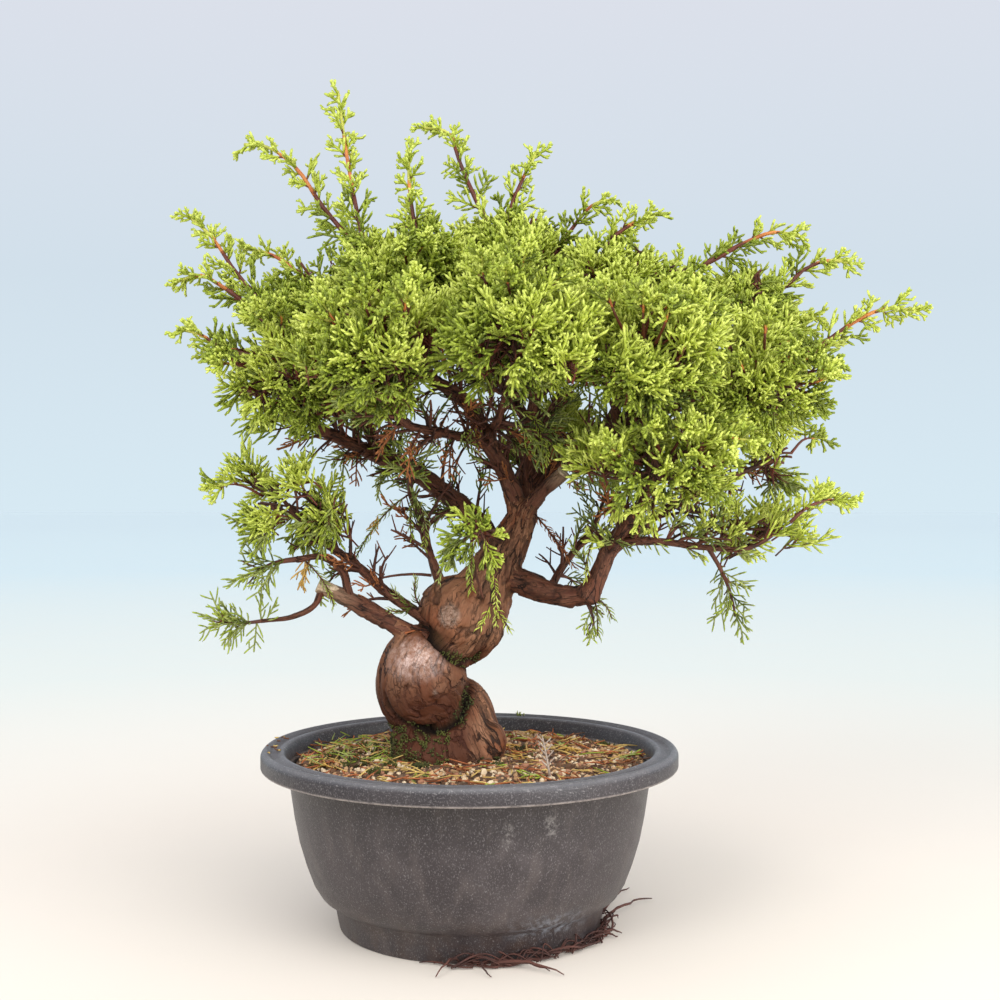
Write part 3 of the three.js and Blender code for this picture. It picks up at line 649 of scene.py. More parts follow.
def bark_finish(name, deep, middle, pale, warm):
    """Stringy, flaking bark that follows the limb: its grain and its relief are kept on the mesh."""
    finish = Finish(name)
    grain = finish.trait("grain", "Vector")
    relief = finish.trait("relief")
    strips = finish.cloud(1, 3, 0.6, finish.stretched(grain, 2.2, 2.2, 1.6))
    fibres = finish.cloud(1, 2, 0.6, finish.stretched(grain, 7, 7, 3))
    wander = {"Vector": grain, "Scale": 2.4, "Detail": 4}
    wander = finish.node("ShaderNodeTexNoise", values=wander, output="Color")
    bends = {0: wander, 1: (0.7,) * 3, 2: grain}
    crooked = finish.node("ShaderNodeVectorMath", {"operation": "MULTIPLY_ADD"}, bends)
    plate_tone = finish.plates(crooked, 1.3, "Color")
    open_here = finish.between(finish.cloud(1, 2, 0.5, grain), 0.42, 0.54)
    crack = finish.between(finish.plates(crooked, 1.3), 0.06, 0.02) * open_here
    flakes = finish.between(finish.plates(crooked, 4.2), 0.08, 0.02)
    nick = flakes * finish.between(strips, 0.46, 0.58)
    colour = finish.layered(
        paint(*middle),
        (finish.between(strips, 0.35, 0.66), pale),
        (0.5 * finish.between(finish.cloud(14, 2), 0.48, 0.7), warm),
        (0.35 * finish.between(plate_tone, 0.5, 0.85), pale),
        (0.5 * finish.between(fibres, 0.55, 0.75), deep),
        (0.5 * finish.between(relief, 0.4, 0.1), deep),
        (0.9 * crack, deep),
        (0.65 * nick, deep),
    )
    return finish, colour, 0.3 * fibres + 0.3 * strips + 0.5 * plate_tone - crack - 0.4 * nick


# The small things' finishes: their two tones, and how rough they are where that isn't 0.5
TONES = {
    "leaf_lime": ((211, 220, 104), (194, 205, 84)),
    "leaf_bright": ((184, 195, 68), (165, 178, 54)),
    "leaf_light": ((164, 178, 56), (143, 159, 46)),
    "leaf_green": ((141, 152, 48), (118, 132, 42)),
    "leaf_deep": ((103, 114, 36), (84, 96, 32)),
    "leaf_dull": ((162, 170, 90), (138, 148, 74)),
    "leaf_gold": ((206, 168, 84), (184, 140, 66), 0.65),
    "leaf_dead": ((176, 108, 56), (140, 84, 48), 0.7),
    "shoot_brown": ((112, 50, 32), (84, 40, 28)),
    "shoot_orange": ((206, 130, 62), (176, 92, 46)),
    "shoot_green": ((196, 192, 84), (180, 180, 74)),
    "twig_bark": ((102, 56, 38), (62, 36, 26), 0.7),
    "moss_green": ((92, 94, 34), (52, 54, 22), 0.8),
    "grit_pale": ((232, 212, 180), (208, 182, 146), 0.8),
    "grit_tan": ((204, 168, 124), (182, 142, 100), 0.8),
    "grit_rose": ((186, 136, 104), (156, 108, 82), 0.8),
    "grit_dark": ((116, 84, 58), (84, 58, 42), 0.85),
    "litter_rust": ((196, 116, 66), (152, 84, 48), 0.75),
    "litter_brown": ((120, 80, 54), (88, 60, 44), 0.75),
    "litter_straw": ((220, 190, 112), (188, 152, 82), 0.75),
    "litter_dry": ((190, 172, 156), (156, 136, 122), 0.8),
    "root_brown": ((92, 54, 44), (64, 38, 32), 0.75),
}
FINISHES = {name: leaf_finish(name, *tones) for name, tones in TONES.items()}


def trunk_finish():
    """The trunk's bark: polished on its swelling, with a painted highlight there; damp and mossy in its
    folds, with painted shade in the folds and low on its left side.
    """
    finish, colour, height = bark_finish(
        "trunk_bark", (28, 13, 6), (100, 59, 36), (152, 108, 80), (126, 60, 24)
    )
    polish_and_highlight, moss = finish.trait("polish_and_highlight"), finish.trait("moss")
    # Pale patches in a net on the polished swelling: a painted highlight
    worn = finish.between(finish.cloud(2.6, 4, 0.7), 0.32, 0.58)
    net = finish.plates(finish.stretched(finish.where, 1, 1, 0.5), 0.75)
    worn = worn * (0.5 + 0.5 * finish.between(net, 0.02, 0.1))
    # Damp bark, darker in the folds, under the swelling's left and low on the foot's left: partly damp,
    # partly painted shade
    colour = finish.layered(
        colour, (0.9 * polish_and_highlight * worn, (230, 202, 192)), (0.84 * finish.trait("damp"), (66, 27, 8))
    )
    mottle = finish.between(finish.cloud(1.3, 3, 0.7), 0.36, 0.62)
    mottle = finish.layered(paint(70, 50, 38), (mottle, (172, 150, 134)))
    colour = finish.tinted(0.6 * finish.trait("knot"), colour, mottle)
    # Moss round the folds and near the soil, painted darker than moss: partly moss, partly painted shade
    colour = finish.layered(
        # a near-black line along each fold: painted shade
        colour, (0.8 * moss, (46, 34, 12)), (0.9 * finish.trait("fold"), (22, 13, 7))
    )
    rough = 0.68 - 0.3 * polish_and_highlight + 0.2 * moss
    return finish.done(colour, rough, height, 0.7, Specular_IOR_Level=0.25)


def bough_finish():
    finish, colour, height = bark_finish(
        "bough_bark", (28, 15, 9), (84, 44, 29), (120, 78, 58), (100, 50, 27)
    )
    colour = finish.layered(colour, (finish.trait("bare"), (150, 122, 98)))
    return finish.done(colour, 0.72, height, 0.6, Specular_IOR_Level=0.3)


def bark_relief(turn, run, strength):
    """How far bark stands out at a turn about its limb and a run along it: flaking plates and fibres."""
    circle = Vector((math.cos(turn), math.sin(turn), 0))
    broad = noise.noise(circle * 2.6 + Vector((0, 0, run * 0.035)))
    spot = circle * 2.4 + Vector((0, 0, run * 0.07))
    spot += 0.4 * noise.noise_vector(spot * 1.7)
    gaps, hearts = noise.voronoi(spot)
    plate = noise.cell(hearts[0] * 9.7)
    crack = max(0, 1 - (gaps[1] - gaps[0]) / 0.09) * (noise.noise(spot * 0.6) > -0.12)
    fine = noise.noise(circle * 11 + Vector((1, 5, run * 0.2)))
    rough = noise.noise(circle * 20 + Vector((4, 1, run * 0.7)))
    return strength * (0.5 * broad + 0.6 * plate + 0.35 * fine + 0.3 * rough - 0.9 * crack)


def kept(mesh, name, values):
    """Keeps a value or a vector for each corner of a mesh, for its finish to read."""
    rows = np.array(values, np.float32)
    kind, key = ("FLOAT_VECTOR", "vector") if rows.ndim > 1 else ("FLOAT", "value")
    mesh.attributes.new(name, kind, "POINT").data.foreach_set(key, rows.ravel())


def rod_on(bm, course, radius_at, sides, steps, start=0.0, end=1.0):
    """A straight rod, bent along a course. Returns its corners with their turn and share."""
    already = len(bm.verts)
    bmesh.ops.create_cone(bm, cap_ends=True, segments=sides, radius1=1, radius2=1, depth=1)
    made = list(bm.verts)[already:]
    long_edges = {e for v in made for e in v.link_edges if abs(e.verts[0].co.z - e.verts[1].co.z) > 0.5}
    bmesh.ops.subdivide_edges(bm, edges=list(long_edges), cuts=steps - 1, use_grid_fill=True)
    corners = list(bm.verts)[already:]
    rows = []
    for corner in corners:
        share = start + (end - start) * (corner.co.z + 0.5)
        turn = math.atan2(corner.co.y, corner.co.x)
        heading, side = course.heading(share), course.side(share)
        out = side * math.cos(turn) + np.cross(heading, side) * math.sin(turn)
        corner.co = course.at(share) + out * radius_at(share, turn)
        rows.append((corner, turn, share))
    return rows


def clean(bm):
    bmesh.ops.remove_doubles(bm, verts=bm.verts, dist=1e-4)
    bmesh.ops.recalc_face_normals(bm, faces=bm.faces)


MOSS_SPOTS = []
# Folds of the coil, seen from the front: their depth, and the places that they pass across and up
CREASES = [
    (5.5, [(-25.3, 133.8), (-22.8, 131.7), (-16, 124.9), (-9.3, 118.6), (-3.8, 113.6), (0.4, 112.3),
           (5, 116.9)]),
    (5, [(-36, 100), (-34, 94.5), (-29.5, 89.3), (-23, 86.6), (-15.5, 85.8), (-9, 87.6), (-3.4, 91.5),
         (-1.2, 97), (-0.4, 104)]),
]
CREASE_BREADTH = 3.1
POLISHED_HIGHLIT_MIDDLE = place(-22, -18, 115)  # the middle of the swelling's smooth front, where a highlight is painted
# The knot and the wart: their middle, their half sizes and how much narrower the finish shows them
KNOTS = [(place(-8.5, -17.4, 134), (5, 6, 5.4), 0), (place(-14, -22.4, 102.6), (2.2, 4, 2.4), 0.3)]
LOW_COIL_TOP = 86  # the bark turns about the foot up to here


def front_of(tree, x, z):
    """The place on the front of a shape at some x and z, if there is one."""
    return tree.ray_cast(Vector((x, -80, z)), Vector((0, 1, 0)))[0]


def crease_places(bm):
    """The folds laid on the front of the trunk, each place with the fold's depth."""
    tree = BVHTree.FromBMesh(bm)
    rows = []
    for depth, fold in CREASES:
        course = through([(x, 0, z) for x, z in fold])
        for share in np.linspace(0, 1, 40):
            x, _, z = course.at(share)
            spot = front_of(tree, x, z)
            if spot:
                rows.append((*spot, depth * min(1, 4 * share + 0.3, 4 * (1 - share) + 0.3)))
    return np.array(rows)


def trunk_mesh():
    """The trunk: its bent rod, lobes and the collars of its boughs, run together, smoothed and cut off at the
    soil.
    """
    bm = bmesh.new()
    rod_on(bm, trunk_course, lambda share, turn: trunk_radius(share), 40, 90)
    for centre, size, tilt in TRUNK_LOBES:
        turned = Matrix.Rotation(math.radians(tilt), 4, "Y") @ Matrix.Diagonal((*size, 1))
        lobe = Matrix.Translation(centre) @ turned
        bmesh.ops.create_icosphere(bm, subdivisions=4, radius=1, matrix=lobe)
    for name, (on, thick, thin, _) in BOUGHS.items():
        if on != "trunk":
            continue
        course = bough_courses[name]
        collar = min(0.5, 15 / course.length)

        def collar_radius(share, turn, thick=thick, thin=thin, collar=collar):
            return lerp(thick, thin, share) * (0.93 + 0.4 * (1 - share / collar) ** 2)

        rod_on(bm, course, collar_radius, 16, 12, 0, collar)
    clean(bm)
    source = piece_from("trunk_shape", bm, None)
    remesh = source.modifiers.new("run_together", "REMESH")
    remesh.mode = "VOXEL"
    remesh.voxel_size = 0.8 * MM
    shape = source.evaluated_get(bpy.context.evaluated_depsgraph_get())
    bm = bmesh.new()
    bm.from_mesh(shape.to_mesh())
    shape.to_mesh_clear()
    bpy.data.objects.remove(source)
    bmesh.ops.scale(bm, vec=(1 / MM,) * 3, verts=bm.verts)
    for _ in range(3):
        bmesh.ops.smooth_vert(
            bm, verts=bm.verts, factor=0.5, use_axis_x=True, use_axis_y=True, use_axis_z=True
        )
    cut = bmesh.ops.bisect_plane(
        bm,
        geom=[*bm.verts, *bm.edges, *bm.faces],
        plane_co=(0, 0, SOIL_LEVEL - 1.2),
        plane_no=(0, 0, 1),
        clear_inner=True,
    )
    bmesh.ops.contextual_create(bm, geom=[e for e in cut["geom_cut"] if isinstance(e, bmesh.types.BMEdge)])
    bm.normal_update()
    return bm


def trunk_piece():
    """The trunk with its bark cut in, and the traits that its finish reads."""
    bm = trunk_mesh()
    folds = crease_places(bm)
    bm.verts.ensure_lookup_table()
    spots = np.array([v.co for v in bm.verts])
    gaps = np.linalg.norm(spots[:, None] - folds[:, :3], axis=2)
    shares = np.linspace(0, 1, 160)
    line = trunk_course.at(shares)
    nearest = ((spots[:, None] - line) ** 2).sum(axis=2).argmin(axis=1)
    traits = {name: [] for name in ("grain", "relief", "polish_and_highlight", "moss", "damp", "knot", "fold")}
    for k, (vert, gap, fold) in enumerate(zip(bm.verts, gaps.min(axis=1), gaps.argmin(axis=1))):
        spot, share, depth = spots[k], shares[nearest[k]], folds[fold, 3]
        x, y, z = spot
        away = spot - line[nearest[k]]
        heading, side = trunk_course.heading(share), trunk_course.side(share)
        run = share * trunk_course.length + away.dot(heading)
        turn = math.atan2(away.dot(np.cross(heading, side)), away.dot(side)) + run * 0.012
        strength = 0.85
        if z < LOW_COIL_TOP or (z < 100 and x > -2):
            turn, strength = math.atan2(y, x + 6) + 0.012 * z, 0.6
        height = bark_relief(turn, run, strength) * (1 - 0.6 * max(0, 1 - gap / 5))
        flat = max(0.0, 1 - np.linalg.norm((spot - POLISHED_HIGHLIT_MIDDLE) / (15, 13, 11)))
        carve = depth * np.clip(1 - gap / CREASE_BREADTH, 0, 1) ** 1.4
        vert.co += vert.normal * (height * (1 - 0.6 * min(1, 2 * flat)) - carve)
        damp = max(0.0, 1.2 - gap / 3.8) * depth / 5.5 + max(0.0, 0.6 - (z - SOIL_LEVEL) / 12)
        damp = min(1.0, damp * (0.75 + 3.2 * noise.noise(Vector(spot) * 0.17)))
        low = clamp((92 - z) / 12) * (1 - clamp((x + 6) / 12))
        knot = min(np.linalg.norm((spot - middle) / size) + less for middle, size, less in KNOTS)
        values = {
            "grain": (2 * math.cos(turn), 2 * math.sin(turn), run * 0.05),
            "relief": 0.5 + height,
            # smooth and polished, with a painted highlight
            "polish_and_highlight": min(1.0, 1.5 * flat) * (0.75 + 0.5 * noise.noise(Vector(spot) * 0.3)),
            # moss round the folds and near the soil; its dark colour is partly painted shade
            "moss": max(0.0, damp - 0.2),
            # darker in the folds, under the swelling and low on the left: partly damp, partly painted shade
            "damp": min(1, max(low, 1.2 - gap / 6, (117 - z) / 20 * clamp((3 - x) / 9))),
            "knot": clamp(2.6 * (1.1 - knot)),
            # a near-black line along each fold: painted shade
            "fold": clamp(1.5 - gap / 1.3) * min(1, depth / 4),
        }
        for name, value in values.items():
            traits[name].append(value)
        patchy = x > -7 and z > 88 or noise.noise(Vector(spot) * 0.13) > 0.2 or z < 76
        lush = damp > 0.5 and patchy and seeded(k, 501) > 0.55
        foot = z < 87 and x < -8 and seeded(k, 502) < 0.3 + 0.9 * noise.noise(Vector(spot) * 0.3)
        if lush or foot:
            MOSS_SPOTS.append((np.array(vert.co), np.array(vert.normal)))
    skin = BVHTree.FromBMesh(bm)
    straw = [front_of(skin, x, z) for x, z in ((-27.6, 126.2), (-24, 127), (-20.4, 126.4))]
    heap_for("litter_rust", "soil").rod(np.array(straw) - place(0, 0.4, 0), (0.6, 0.7, 0.45))
    piece = piece_from("trunk_bark", bm, trunk_finish())
    for name, values in traits.items():
        kept(piece.data, name, values)
    return finished(piece, "bark", "trunk")


# The dead stubs: where they turn bare, where the sawn slope on their front starts, and how it leans
STUBS = {
    "left_stub": (1.6, 0.55, (-0.1, -0.9, 0.8)),
    "fork_stub": (1.7, 0.84, (0.2, -0.9, 0.6)),
}


def boughs_piece():
    """All the boughs: tapering limbs with a flared foot, low knuckles and stringy bark."""
    bm = bmesh.new()
    grain_layer = bm.verts.layers.float_vector.new("grain")
    relief_layer = bm.verts.layers.float.new("relief")
    bare_layer = bm.verts.layers.float.new("bare")
    for number, (name, (_, thick, thin, _)) in enumerate(BOUGHS.items()):
        course = bough_courses[name]
        steps = max(12, int(course.length / 1.3))
        sides = 18 if thick > 4 else 12

        def radius_at(share, turn, number=number, thick=thick, thin=thin, course=course):
            run = share * course.length + 90 * number
            foot = max(0, 1 - share * course.length / 8)
            plain = lerp(thick, thin, share) * (1 + 0.3 * foot**2)
            knuckle = 1 + 0.2 * noise.noise(Vector((number, 3, run * 0.09)))
            return plain * knuckle + bark_relief(turn + run * 0.03, run * 1.6, 0.55 * min(1, plain / 4))

        for corner, turn, share in rod_on(bm, course, radius_at, sides, steps):
            run = share * course.length + 90 * number
            grain_turn = turn + run * 0.03
            corner[grain_layer] = (math.cos(grain_turn), math.sin(grain_turn), run * 0.06)
            corner[relief_layer] = 0.5 + 1.3 * bark_relief(grain_turn, run * 1.6, 0.42)
            corner[bare_layer] = 2.6 * share - STUBS[name][0] if name in STUBS else 0
        if name not in STUBS:
            already = len(bm.verts)
            end = Matrix.Translation(course.at(1))
            bmesh.ops.create_icosphere(bm, subdivisions=3, radius=thin * 1.06, matrix=end)
            for corner in list(bm.verts)[already:]:
                corner[grain_layer] = corner.co * 0.15
                corner[relief_layer] = 0.5
                corner.co += corner.co.normalized() * 0.3 * noise.noise(corner.co * 0.5)
    bmesh.ops.recalc_face_normals(bm, faces=bm.faces)
    return finished(piece_from("bough_bark", bm, bough_finish()), "bough_bark", *BOUGHS)


def stub_ends_piece():
    """The pale sawn ends of the two stubs."""
    finish = Finish("sawn_wood")
    rings = finish.cloud(1.1, 3, 0.6, finish.stretched(finish.where, 1, 1, 0.5))
    colour = finish.tinted(finish.between(rings, 0.4, 0.65), paint(204, 182, 152), paint(144, 118, 92))
    material = finish.done(colour, 0.8, rings, 0.25)
    bm = bmesh.new()
    for name, (_, slope_start, lean) in STUBS.items():
        course, end = bough_courses[name], BOUGHS[name][2]

        def radius_at(share, turn, end=end):
            return end * (0.9 + 0.12 * noise.noise(Vector((math.cos(turn) * 2, math.sin(turn) * 2, 5))))

        tip, ahead = course.at(1), course.heading(1)
        rod_on(bm, Course([tip - ahead * 0.9, tip, tip + ahead * 0.5]), radius_at, 14, 3)
        slope = Course(course.at(np.linspace(slope_start, 1.02, 9)) + place(*lean))
        rod_on(bm, slope, lambda share, turn, end=end: end * lerp(0.45, 0.92, share), 14, 8)
    bmesh.ops.recalc_face_normals(bm, faces=bm.faces)
    return finished(piece_from("stub_ends", bm, material), "bark")


# Pot
def spun(bm, profile, steps):
    """A closed shape turned about the pot's axis from a profile of radii and heights."""
    rows = [bm.verts.new((radius, 0, height)) for radius, height in profile]
    edges = [bm.edges.new(pair) for pair in zip(rows, rows[1:])]
    bmesh.ops.spin(
        bm, geom=[*rows, *edges], axis=(0, 0, 1), cent=(0, 0, 0), angle=math.tau, steps=steps,
        use_merge=True,
    )
    bmesh.ops.remove_doubles(bm, verts=bm.verts, dist=1e-3)
    bmesh.ops.recalc_face_normals(bm, faces=bm.faces)


def pot_finish():
    """Dusty plastic: specks and smears, a scraped rim edge, soil on its foot and a few worn marks; a painted
    highlight along the rim's top, and painted shade under the rim, on its outer face and on the inner wall.
    """
    finish = Finish("pot_plastic")
    where, between, cloud = finish.where, finish.between, finish.cloud
    height, across = finish.along("Z"), finish.along("X")
    from_middle = finish.measured(finish.stretched(where, 1, 1, 0))
    dust = between(cloud(26, 4, 0.6), 0.46, 0.72)
    smear = between(cloud(7, 3, 0.6, finish.stretched(where, 1, 1, 0.25)), 0.5, 0.75)
    speck = between(cloud(0.5, 2, 0.6, finish.stretched(where, 1, 1, 0.6)), 0.56, 0.76)
    grain = cloud(0.5, 2)
    streaks = cloud(2.6, 5, 0.8, finish.stretched(where, 1, 1, 2))
    scratches = cloud(1, 3, 0.7, finish.stretched(where, 0.5, 0.5, 2.2))
    rim_dust = between(height, 66, 77) * between(streaks, 0.4, 0.6) * (0.75 + 0.4 * between(across, 10, 80))
    # A painted highlight along the top of the rim
    rim_top_highlight = between(height, POT_HEIGHT - 2.4, POT_HEIGHT - 1) * between(from_middle, 79.6, 80.6)
    # Painted shade on the body just under the rim
    shade_under_rim = between(height, 46, 64) * between(height, 69, 68)
    # Painted shade on the rim's outer face
    rim_face_shade = between(from_middle, 88.4, 89.4) * between(height, 76, 74.6) * between(height, 69, 70)
    # Painted shade on the pot's inner wall above the soil
    inner_wall_shade = between(from_middle, 80.2, 79.4) * between(height, 69.2, 70)
    rim_scratch = between(height, 67, 72) * between(scratches, 0.6, 0.7)
    edge = between(height, 68.2, 68.8) * between(height, 70, 69.4) * between(streaks, 0.3, 0.6)
    foot_dust = between(height, 26, 4) * between(cloud(11, 4, 0.65), 0.4, 0.75)
    scuff = between(height, 22, 13) * between(across, 12, 30) * between(across, 52, 40)
    scuff = scuff * between(height, 8, 12) * between(cloud(3, 4, 0.7), 0.45, 0.65)
    marks = []
    for x, z in ((33, 58), (16, 56)):
        spot = finish.node("ShaderNodeVectorMath", {"operation": "SUBTRACT"}, {0: where, 1: (x, -71, z)})
        near = between(finish.measured(finish.stretched(spot, 0.3, 0.1, 0.14)), 1, 0.3)
        marks.append((0.5 * near * between(cloud(2.2, 4, 0.75), 0.46, 0.62), (168, 162, 157)))
    colour = finish.layered(
        paint(49, 42, 44),
        (0.4 * dust, (96, 87, 86)),
        (0.35 * smear, (96, 86, 82)),
        (0.16 * rim_dust, (134, 127, 130)),
        (0.3 * rim_top_highlight, (140, 142, 146)),
        (0.45 * shade_under_rim, (26, 20, 20)),
        (0.5 * rim_face_shade, (26, 21, 27)),
        (0.55 * inner_wall_shade, (30, 30, 33)),
        (0.32 * rim_scratch, (200, 194, 192)),
        (0.55 * edge, (184, 172, 164)),
        (0.6 * foot_dust, (78, 57, 44)),
        (0.7 * scuff, (150, 156, 166)),
        *marks,
        (0.38 * speck, (172, 167, 166)),
    )
    return finish.done(colour, 0.34 + 0.25 * dust + 0.12 * grain, grain + 0.6 * smear, 0.12)


# The pot's outer profile from the middle of its underside to the rim's inner bead, and its inside back
# down to the middle: radii and heights
POT_OUTSIDE = [
    (0, 0), (50, 0), (FOOT_RADIUS - 1.6, 0), (FOOT_RADIUS + 0.6, FOOT_HEIGHT - 1.2),
    (60.4, FOOT_HEIGHT + 0.4), (64.6, 15.2), (67.6, 20), (70.6, 28), (73.6, 38), (75.6, 48), (77.3, 59.5),
    (78.6, 67), (79.6, 69), (87.6, 69), (88.2, 68.7), (RIM_RADIUS, 69), (RIM_RADIUS, POT_HEIGHT - 1.8),
    (RIM_RADIUS - 1.4, POT_HEIGHT), (87.3, POT_HEIGHT), (86.5, POT_HEIGHT - 1.6), (85.5, POT_HEIGHT - 1.7),
    (82.7, POT_HEIGHT - 1.4), (82.1, POT_HEIGHT - 0.5), (80.6, POT_HEIGHT - 0.6),
]
POT_INSIDE = [
    (79.9, POT_HEIGHT - 1.4), (79.1, POT_HEIGHT - 3), (78.2, 70), (77.3 - POT_WALL, 59.5),
    (73.6 - POT_WALL, 38), (67 - POT_WALL, 18.6), (FOOT_RADIUS, FOOT_HEIGHT + 0.6),
    (FOOT_RADIUS - POT_WALL, 3), (0, 3),
]
# The rings of the outside that get a narrow bevel
POT_CRISP = [
    (FOOT_RADIUS - 1.6, 0), (RIM_RADIUS, 69), (RIM_RADIUS, POT_HEIGHT - 1.8),
    (RIM_RADIUS - 1.4, POT_HEIGHT),
]


def pot_piece():
    bm = bmesh.new()
    spun(bm, [*POT_OUTSIDE, *POT_INSIDE], 144)

    def on_ring(edge, radius, height):
        gaps = [(math.hypot(*v.co.xy) - radius, v.co.z - height) for v in edge.verts]
        return all(abs(aside) < 0.05 and abs(up) < 0.05 for aside, up in gaps)

    rings = [edge for edge in bm.edges if any(on_ring(edge, *ring) for ring in POT_CRISP)]
    bmesh.ops.bevel(
        bm, geom=rings, offset=0.7, offset_type="OFFSET", affect="EDGES", segments=3, profile=0.5,
        material=-1, clamp_overlap=True,
    )
    return finished(piece_from("pot_shell", bm, pot_finish()), "pot_plastic", "pot")


# Soil and what lies on it
def soil_height(radius):
    return np.interp(radius, [36, 54, 75.7], [SOIL_LEVEL, SOIL_LEVEL - 1.4, SOIL_EDGE_LEVEL])


def soil_piece():
    bm = bmesh.new()
    top = [(radius, float(soil_height(radius))) for radius in np.linspace(0, 75.6, 34)]
    spun(bm, [*top, (74.6, 60), (0, 60)], 120)
    for vert in bm.verts:
        if vert.co.z > 65:
            rough = noise.fractal(Vector(vert.co) * 0.16, 1.0, 2.0, 4)
            vert.co.z += 0.9 * rough * min(1, (75.6 - math.hypot(*vert.co.xy)) / 3)
    finish = Finish("soil_mix")
    lumps = finish.cloud(2.2, 3, 0.7)
    damp = finish.between(finish.cloud(15, 3), 0.4, 0.7)
    colour = finish.layered(
        paint(74, 54, 42), (finish.between(lumps, 0.35, 0.7), (146, 116, 90)), (0.6 * damp, (58, 44, 34))
    )
    material = finish.done(colour, 0.95, lumps, 1.2)
    return finished(piece_from("soil_bed", bm, material), "soil_mix", "soil")


draw = np.random.default_rng(41)


def soil_spot(lowest=0.0, highest=75.0):
    """A seeded spot on the soil, outside the trunk's foot."""
    while True:
        radius = math.sqrt(draw.uniform(lowest**2, highest**2))
        spot = about(draw.uniform(0, math.tau)) * radius
        foot = (spot - place(-8, -1, 0)) / (26, 22, 1)
        if np.linalg.norm(foot) > 0.93:
            return spot + UP * soil_height(radius)


def grit_pieces():
    """Loose grit: small broken stones of four colours, joined by colour."""
    stone = bmesh.new()
    bmesh.ops.create_icosphere(stone, subdivisions=1, radius=1)
    ball = np.array([v.co for v in stone.verts])
    plan = np.array([[v.index for v in face.verts] for face in stone.faces])
    stone.free()
    kinds = ("grit_pale", "grit_tan", "grit_rose", "grit_dark")
    stones = {kind: ([], []) for kind in kinds}
    for _ in range(3600):
        kind = kinds[draw.choice(4, p=[0.26, 0.34, 0.2, 0.2])]
        size = draw.choice([0.75, 1.05, 1.5, 2], p=[0.38, 0.36, 0.2, 0.06]) * draw.uniform(0.8, 1.15)
        corners = ball * draw.uniform(0.72, 1.15, (len(ball), 1))
        corners = corners * (size, size * draw.uniform(0.6, 1), size * 0.65)
        turned = np.array(Matrix.Rotation(draw.uniform(0, 6.28), 3, spread(draw.integers(999), -1)))
        spot = soil_spot() + UP * size * draw.uniform(0.05, 0.4)
        rows, faces = stones[kind]
        faces.append(plan + len(ball) * len(rows))
        rows.append(corners @ turned + spot)
    for kind, (rows, faces) in stones.items():
        rows, faces = np.concatenate(rows), np.concatenate(faces)
        finished(piece_of(kind, rows, faces, FINISHES[kind], smooth=False), "soil_mix")


# Sprays of scale leaves, drawn once as fans of leafy cords and then placed many times.
# A cord has its places, its radii, and 0 for an older one, 1 for a fresh one or 2 for a stalk.
def turned_flat(heading, turn, lift):
    """A heading turned in a fan's own plane, and lifted out of it."""
    x, y, z = heading
    cos, sin = math.cos(turn), math.sin(turn)
    return unit(place(x * cos - y * sin, x * sin + y * cos, z + lift))


def finger(cords, root, heading, reach, thick, nubs, side):
    """A leafy cord: its older foot, its fresh blunt end, and for some short cords at its sides."""
    middle = root + heading * reach * 0.52
    turned = unit(heading + place(draw.uniform(0, 0.42), 0, draw.uniform(-0.12, 0.36)))
    bend = middle + turned * reach * 0.32
    tip = bend + unit(turned + place(0.25, 0, 0.16)) * reach * 0.16
    cords.append(((root, middle), (thick * 0.82, thick), 0))
    cords.append(((middle - heading * 0.3, bend, tip), (thick, thick * 0.97, 0), 1))
    for _ in range(int(draw.uniform() < nubs) + int(draw.uniform() < nubs * 0.4)):
        start = lerp(root, bend, draw.uniform(0.4, 0.95))
        out = turned_flat(turned, -side * math.radians(draw.uniform(30, 52)), draw.uniform(-0.4, 0.45))
        far = start + out * min(reach * 0.42, draw.uniform(2.3, 3.8))
        cords.append(((start, far), (thick * 0.9, thick * 0.74), int(draw.uniform() > 0.35)))
        side = -side


def fan(length, count, nubs, thick, reach, angles, stalk=0.5):
    """A fan of leafy cords that grows along +X with its breadth along Y, as rods for each leaf kind."""
    bow = draw.uniform(-0.18, 0.18)
    lift = draw.uniform(-0.06, 0.14)

    def spine(share):
        return length * place(share, bow * share**2, lift * math.sin(2.6 * share))

    cords = [((spine(stalk), spine(0.5 + stalk * 0.3), spine(0.8)), (thick * 0.8, thick, thick), 0)]
    if stalk:
        stalk_places = (spine(0), spine(0.3), spine(stalk + 0.05))
        cords.append((stalk_places, (thick * 0.75, thick * 0.75, thick * 0.6), 2))
    side = draw.choice([-1, 1])
    for k in range(count):
        low = 0.42 * stalk + 0.04
        share = low + (0.77 - low) * k / (count - 1) + draw.uniform(-0.02, 0.02)
        angle = side * math.radians(draw.uniform(*angles))
        heading = turned_flat((1, 0, 0), angle, draw.uniform(-0.5, 0.55))
        far = reach * (1.15 - 0.4 * share) * draw.uniform(0.75, 1.2)
        finger(cords, spine(share), heading, far, thick * 0.95, nubs, side)
        side = -side
    finger(cords, spine(0.76), unit(spine(1) - spine(0.76)), length * 0.3, thick, nubs, side)
    rows = {}
    for places, radii, fresh in cords:
        lines, sizes = rows.setdefault((len(places), fresh), ([], []))
        lines.append(places)
        sizes.append(radii)
    return [(fresh, np.array(lines), np.array(sizes)) for (_, fresh), (lines, sizes) in rows.items()]


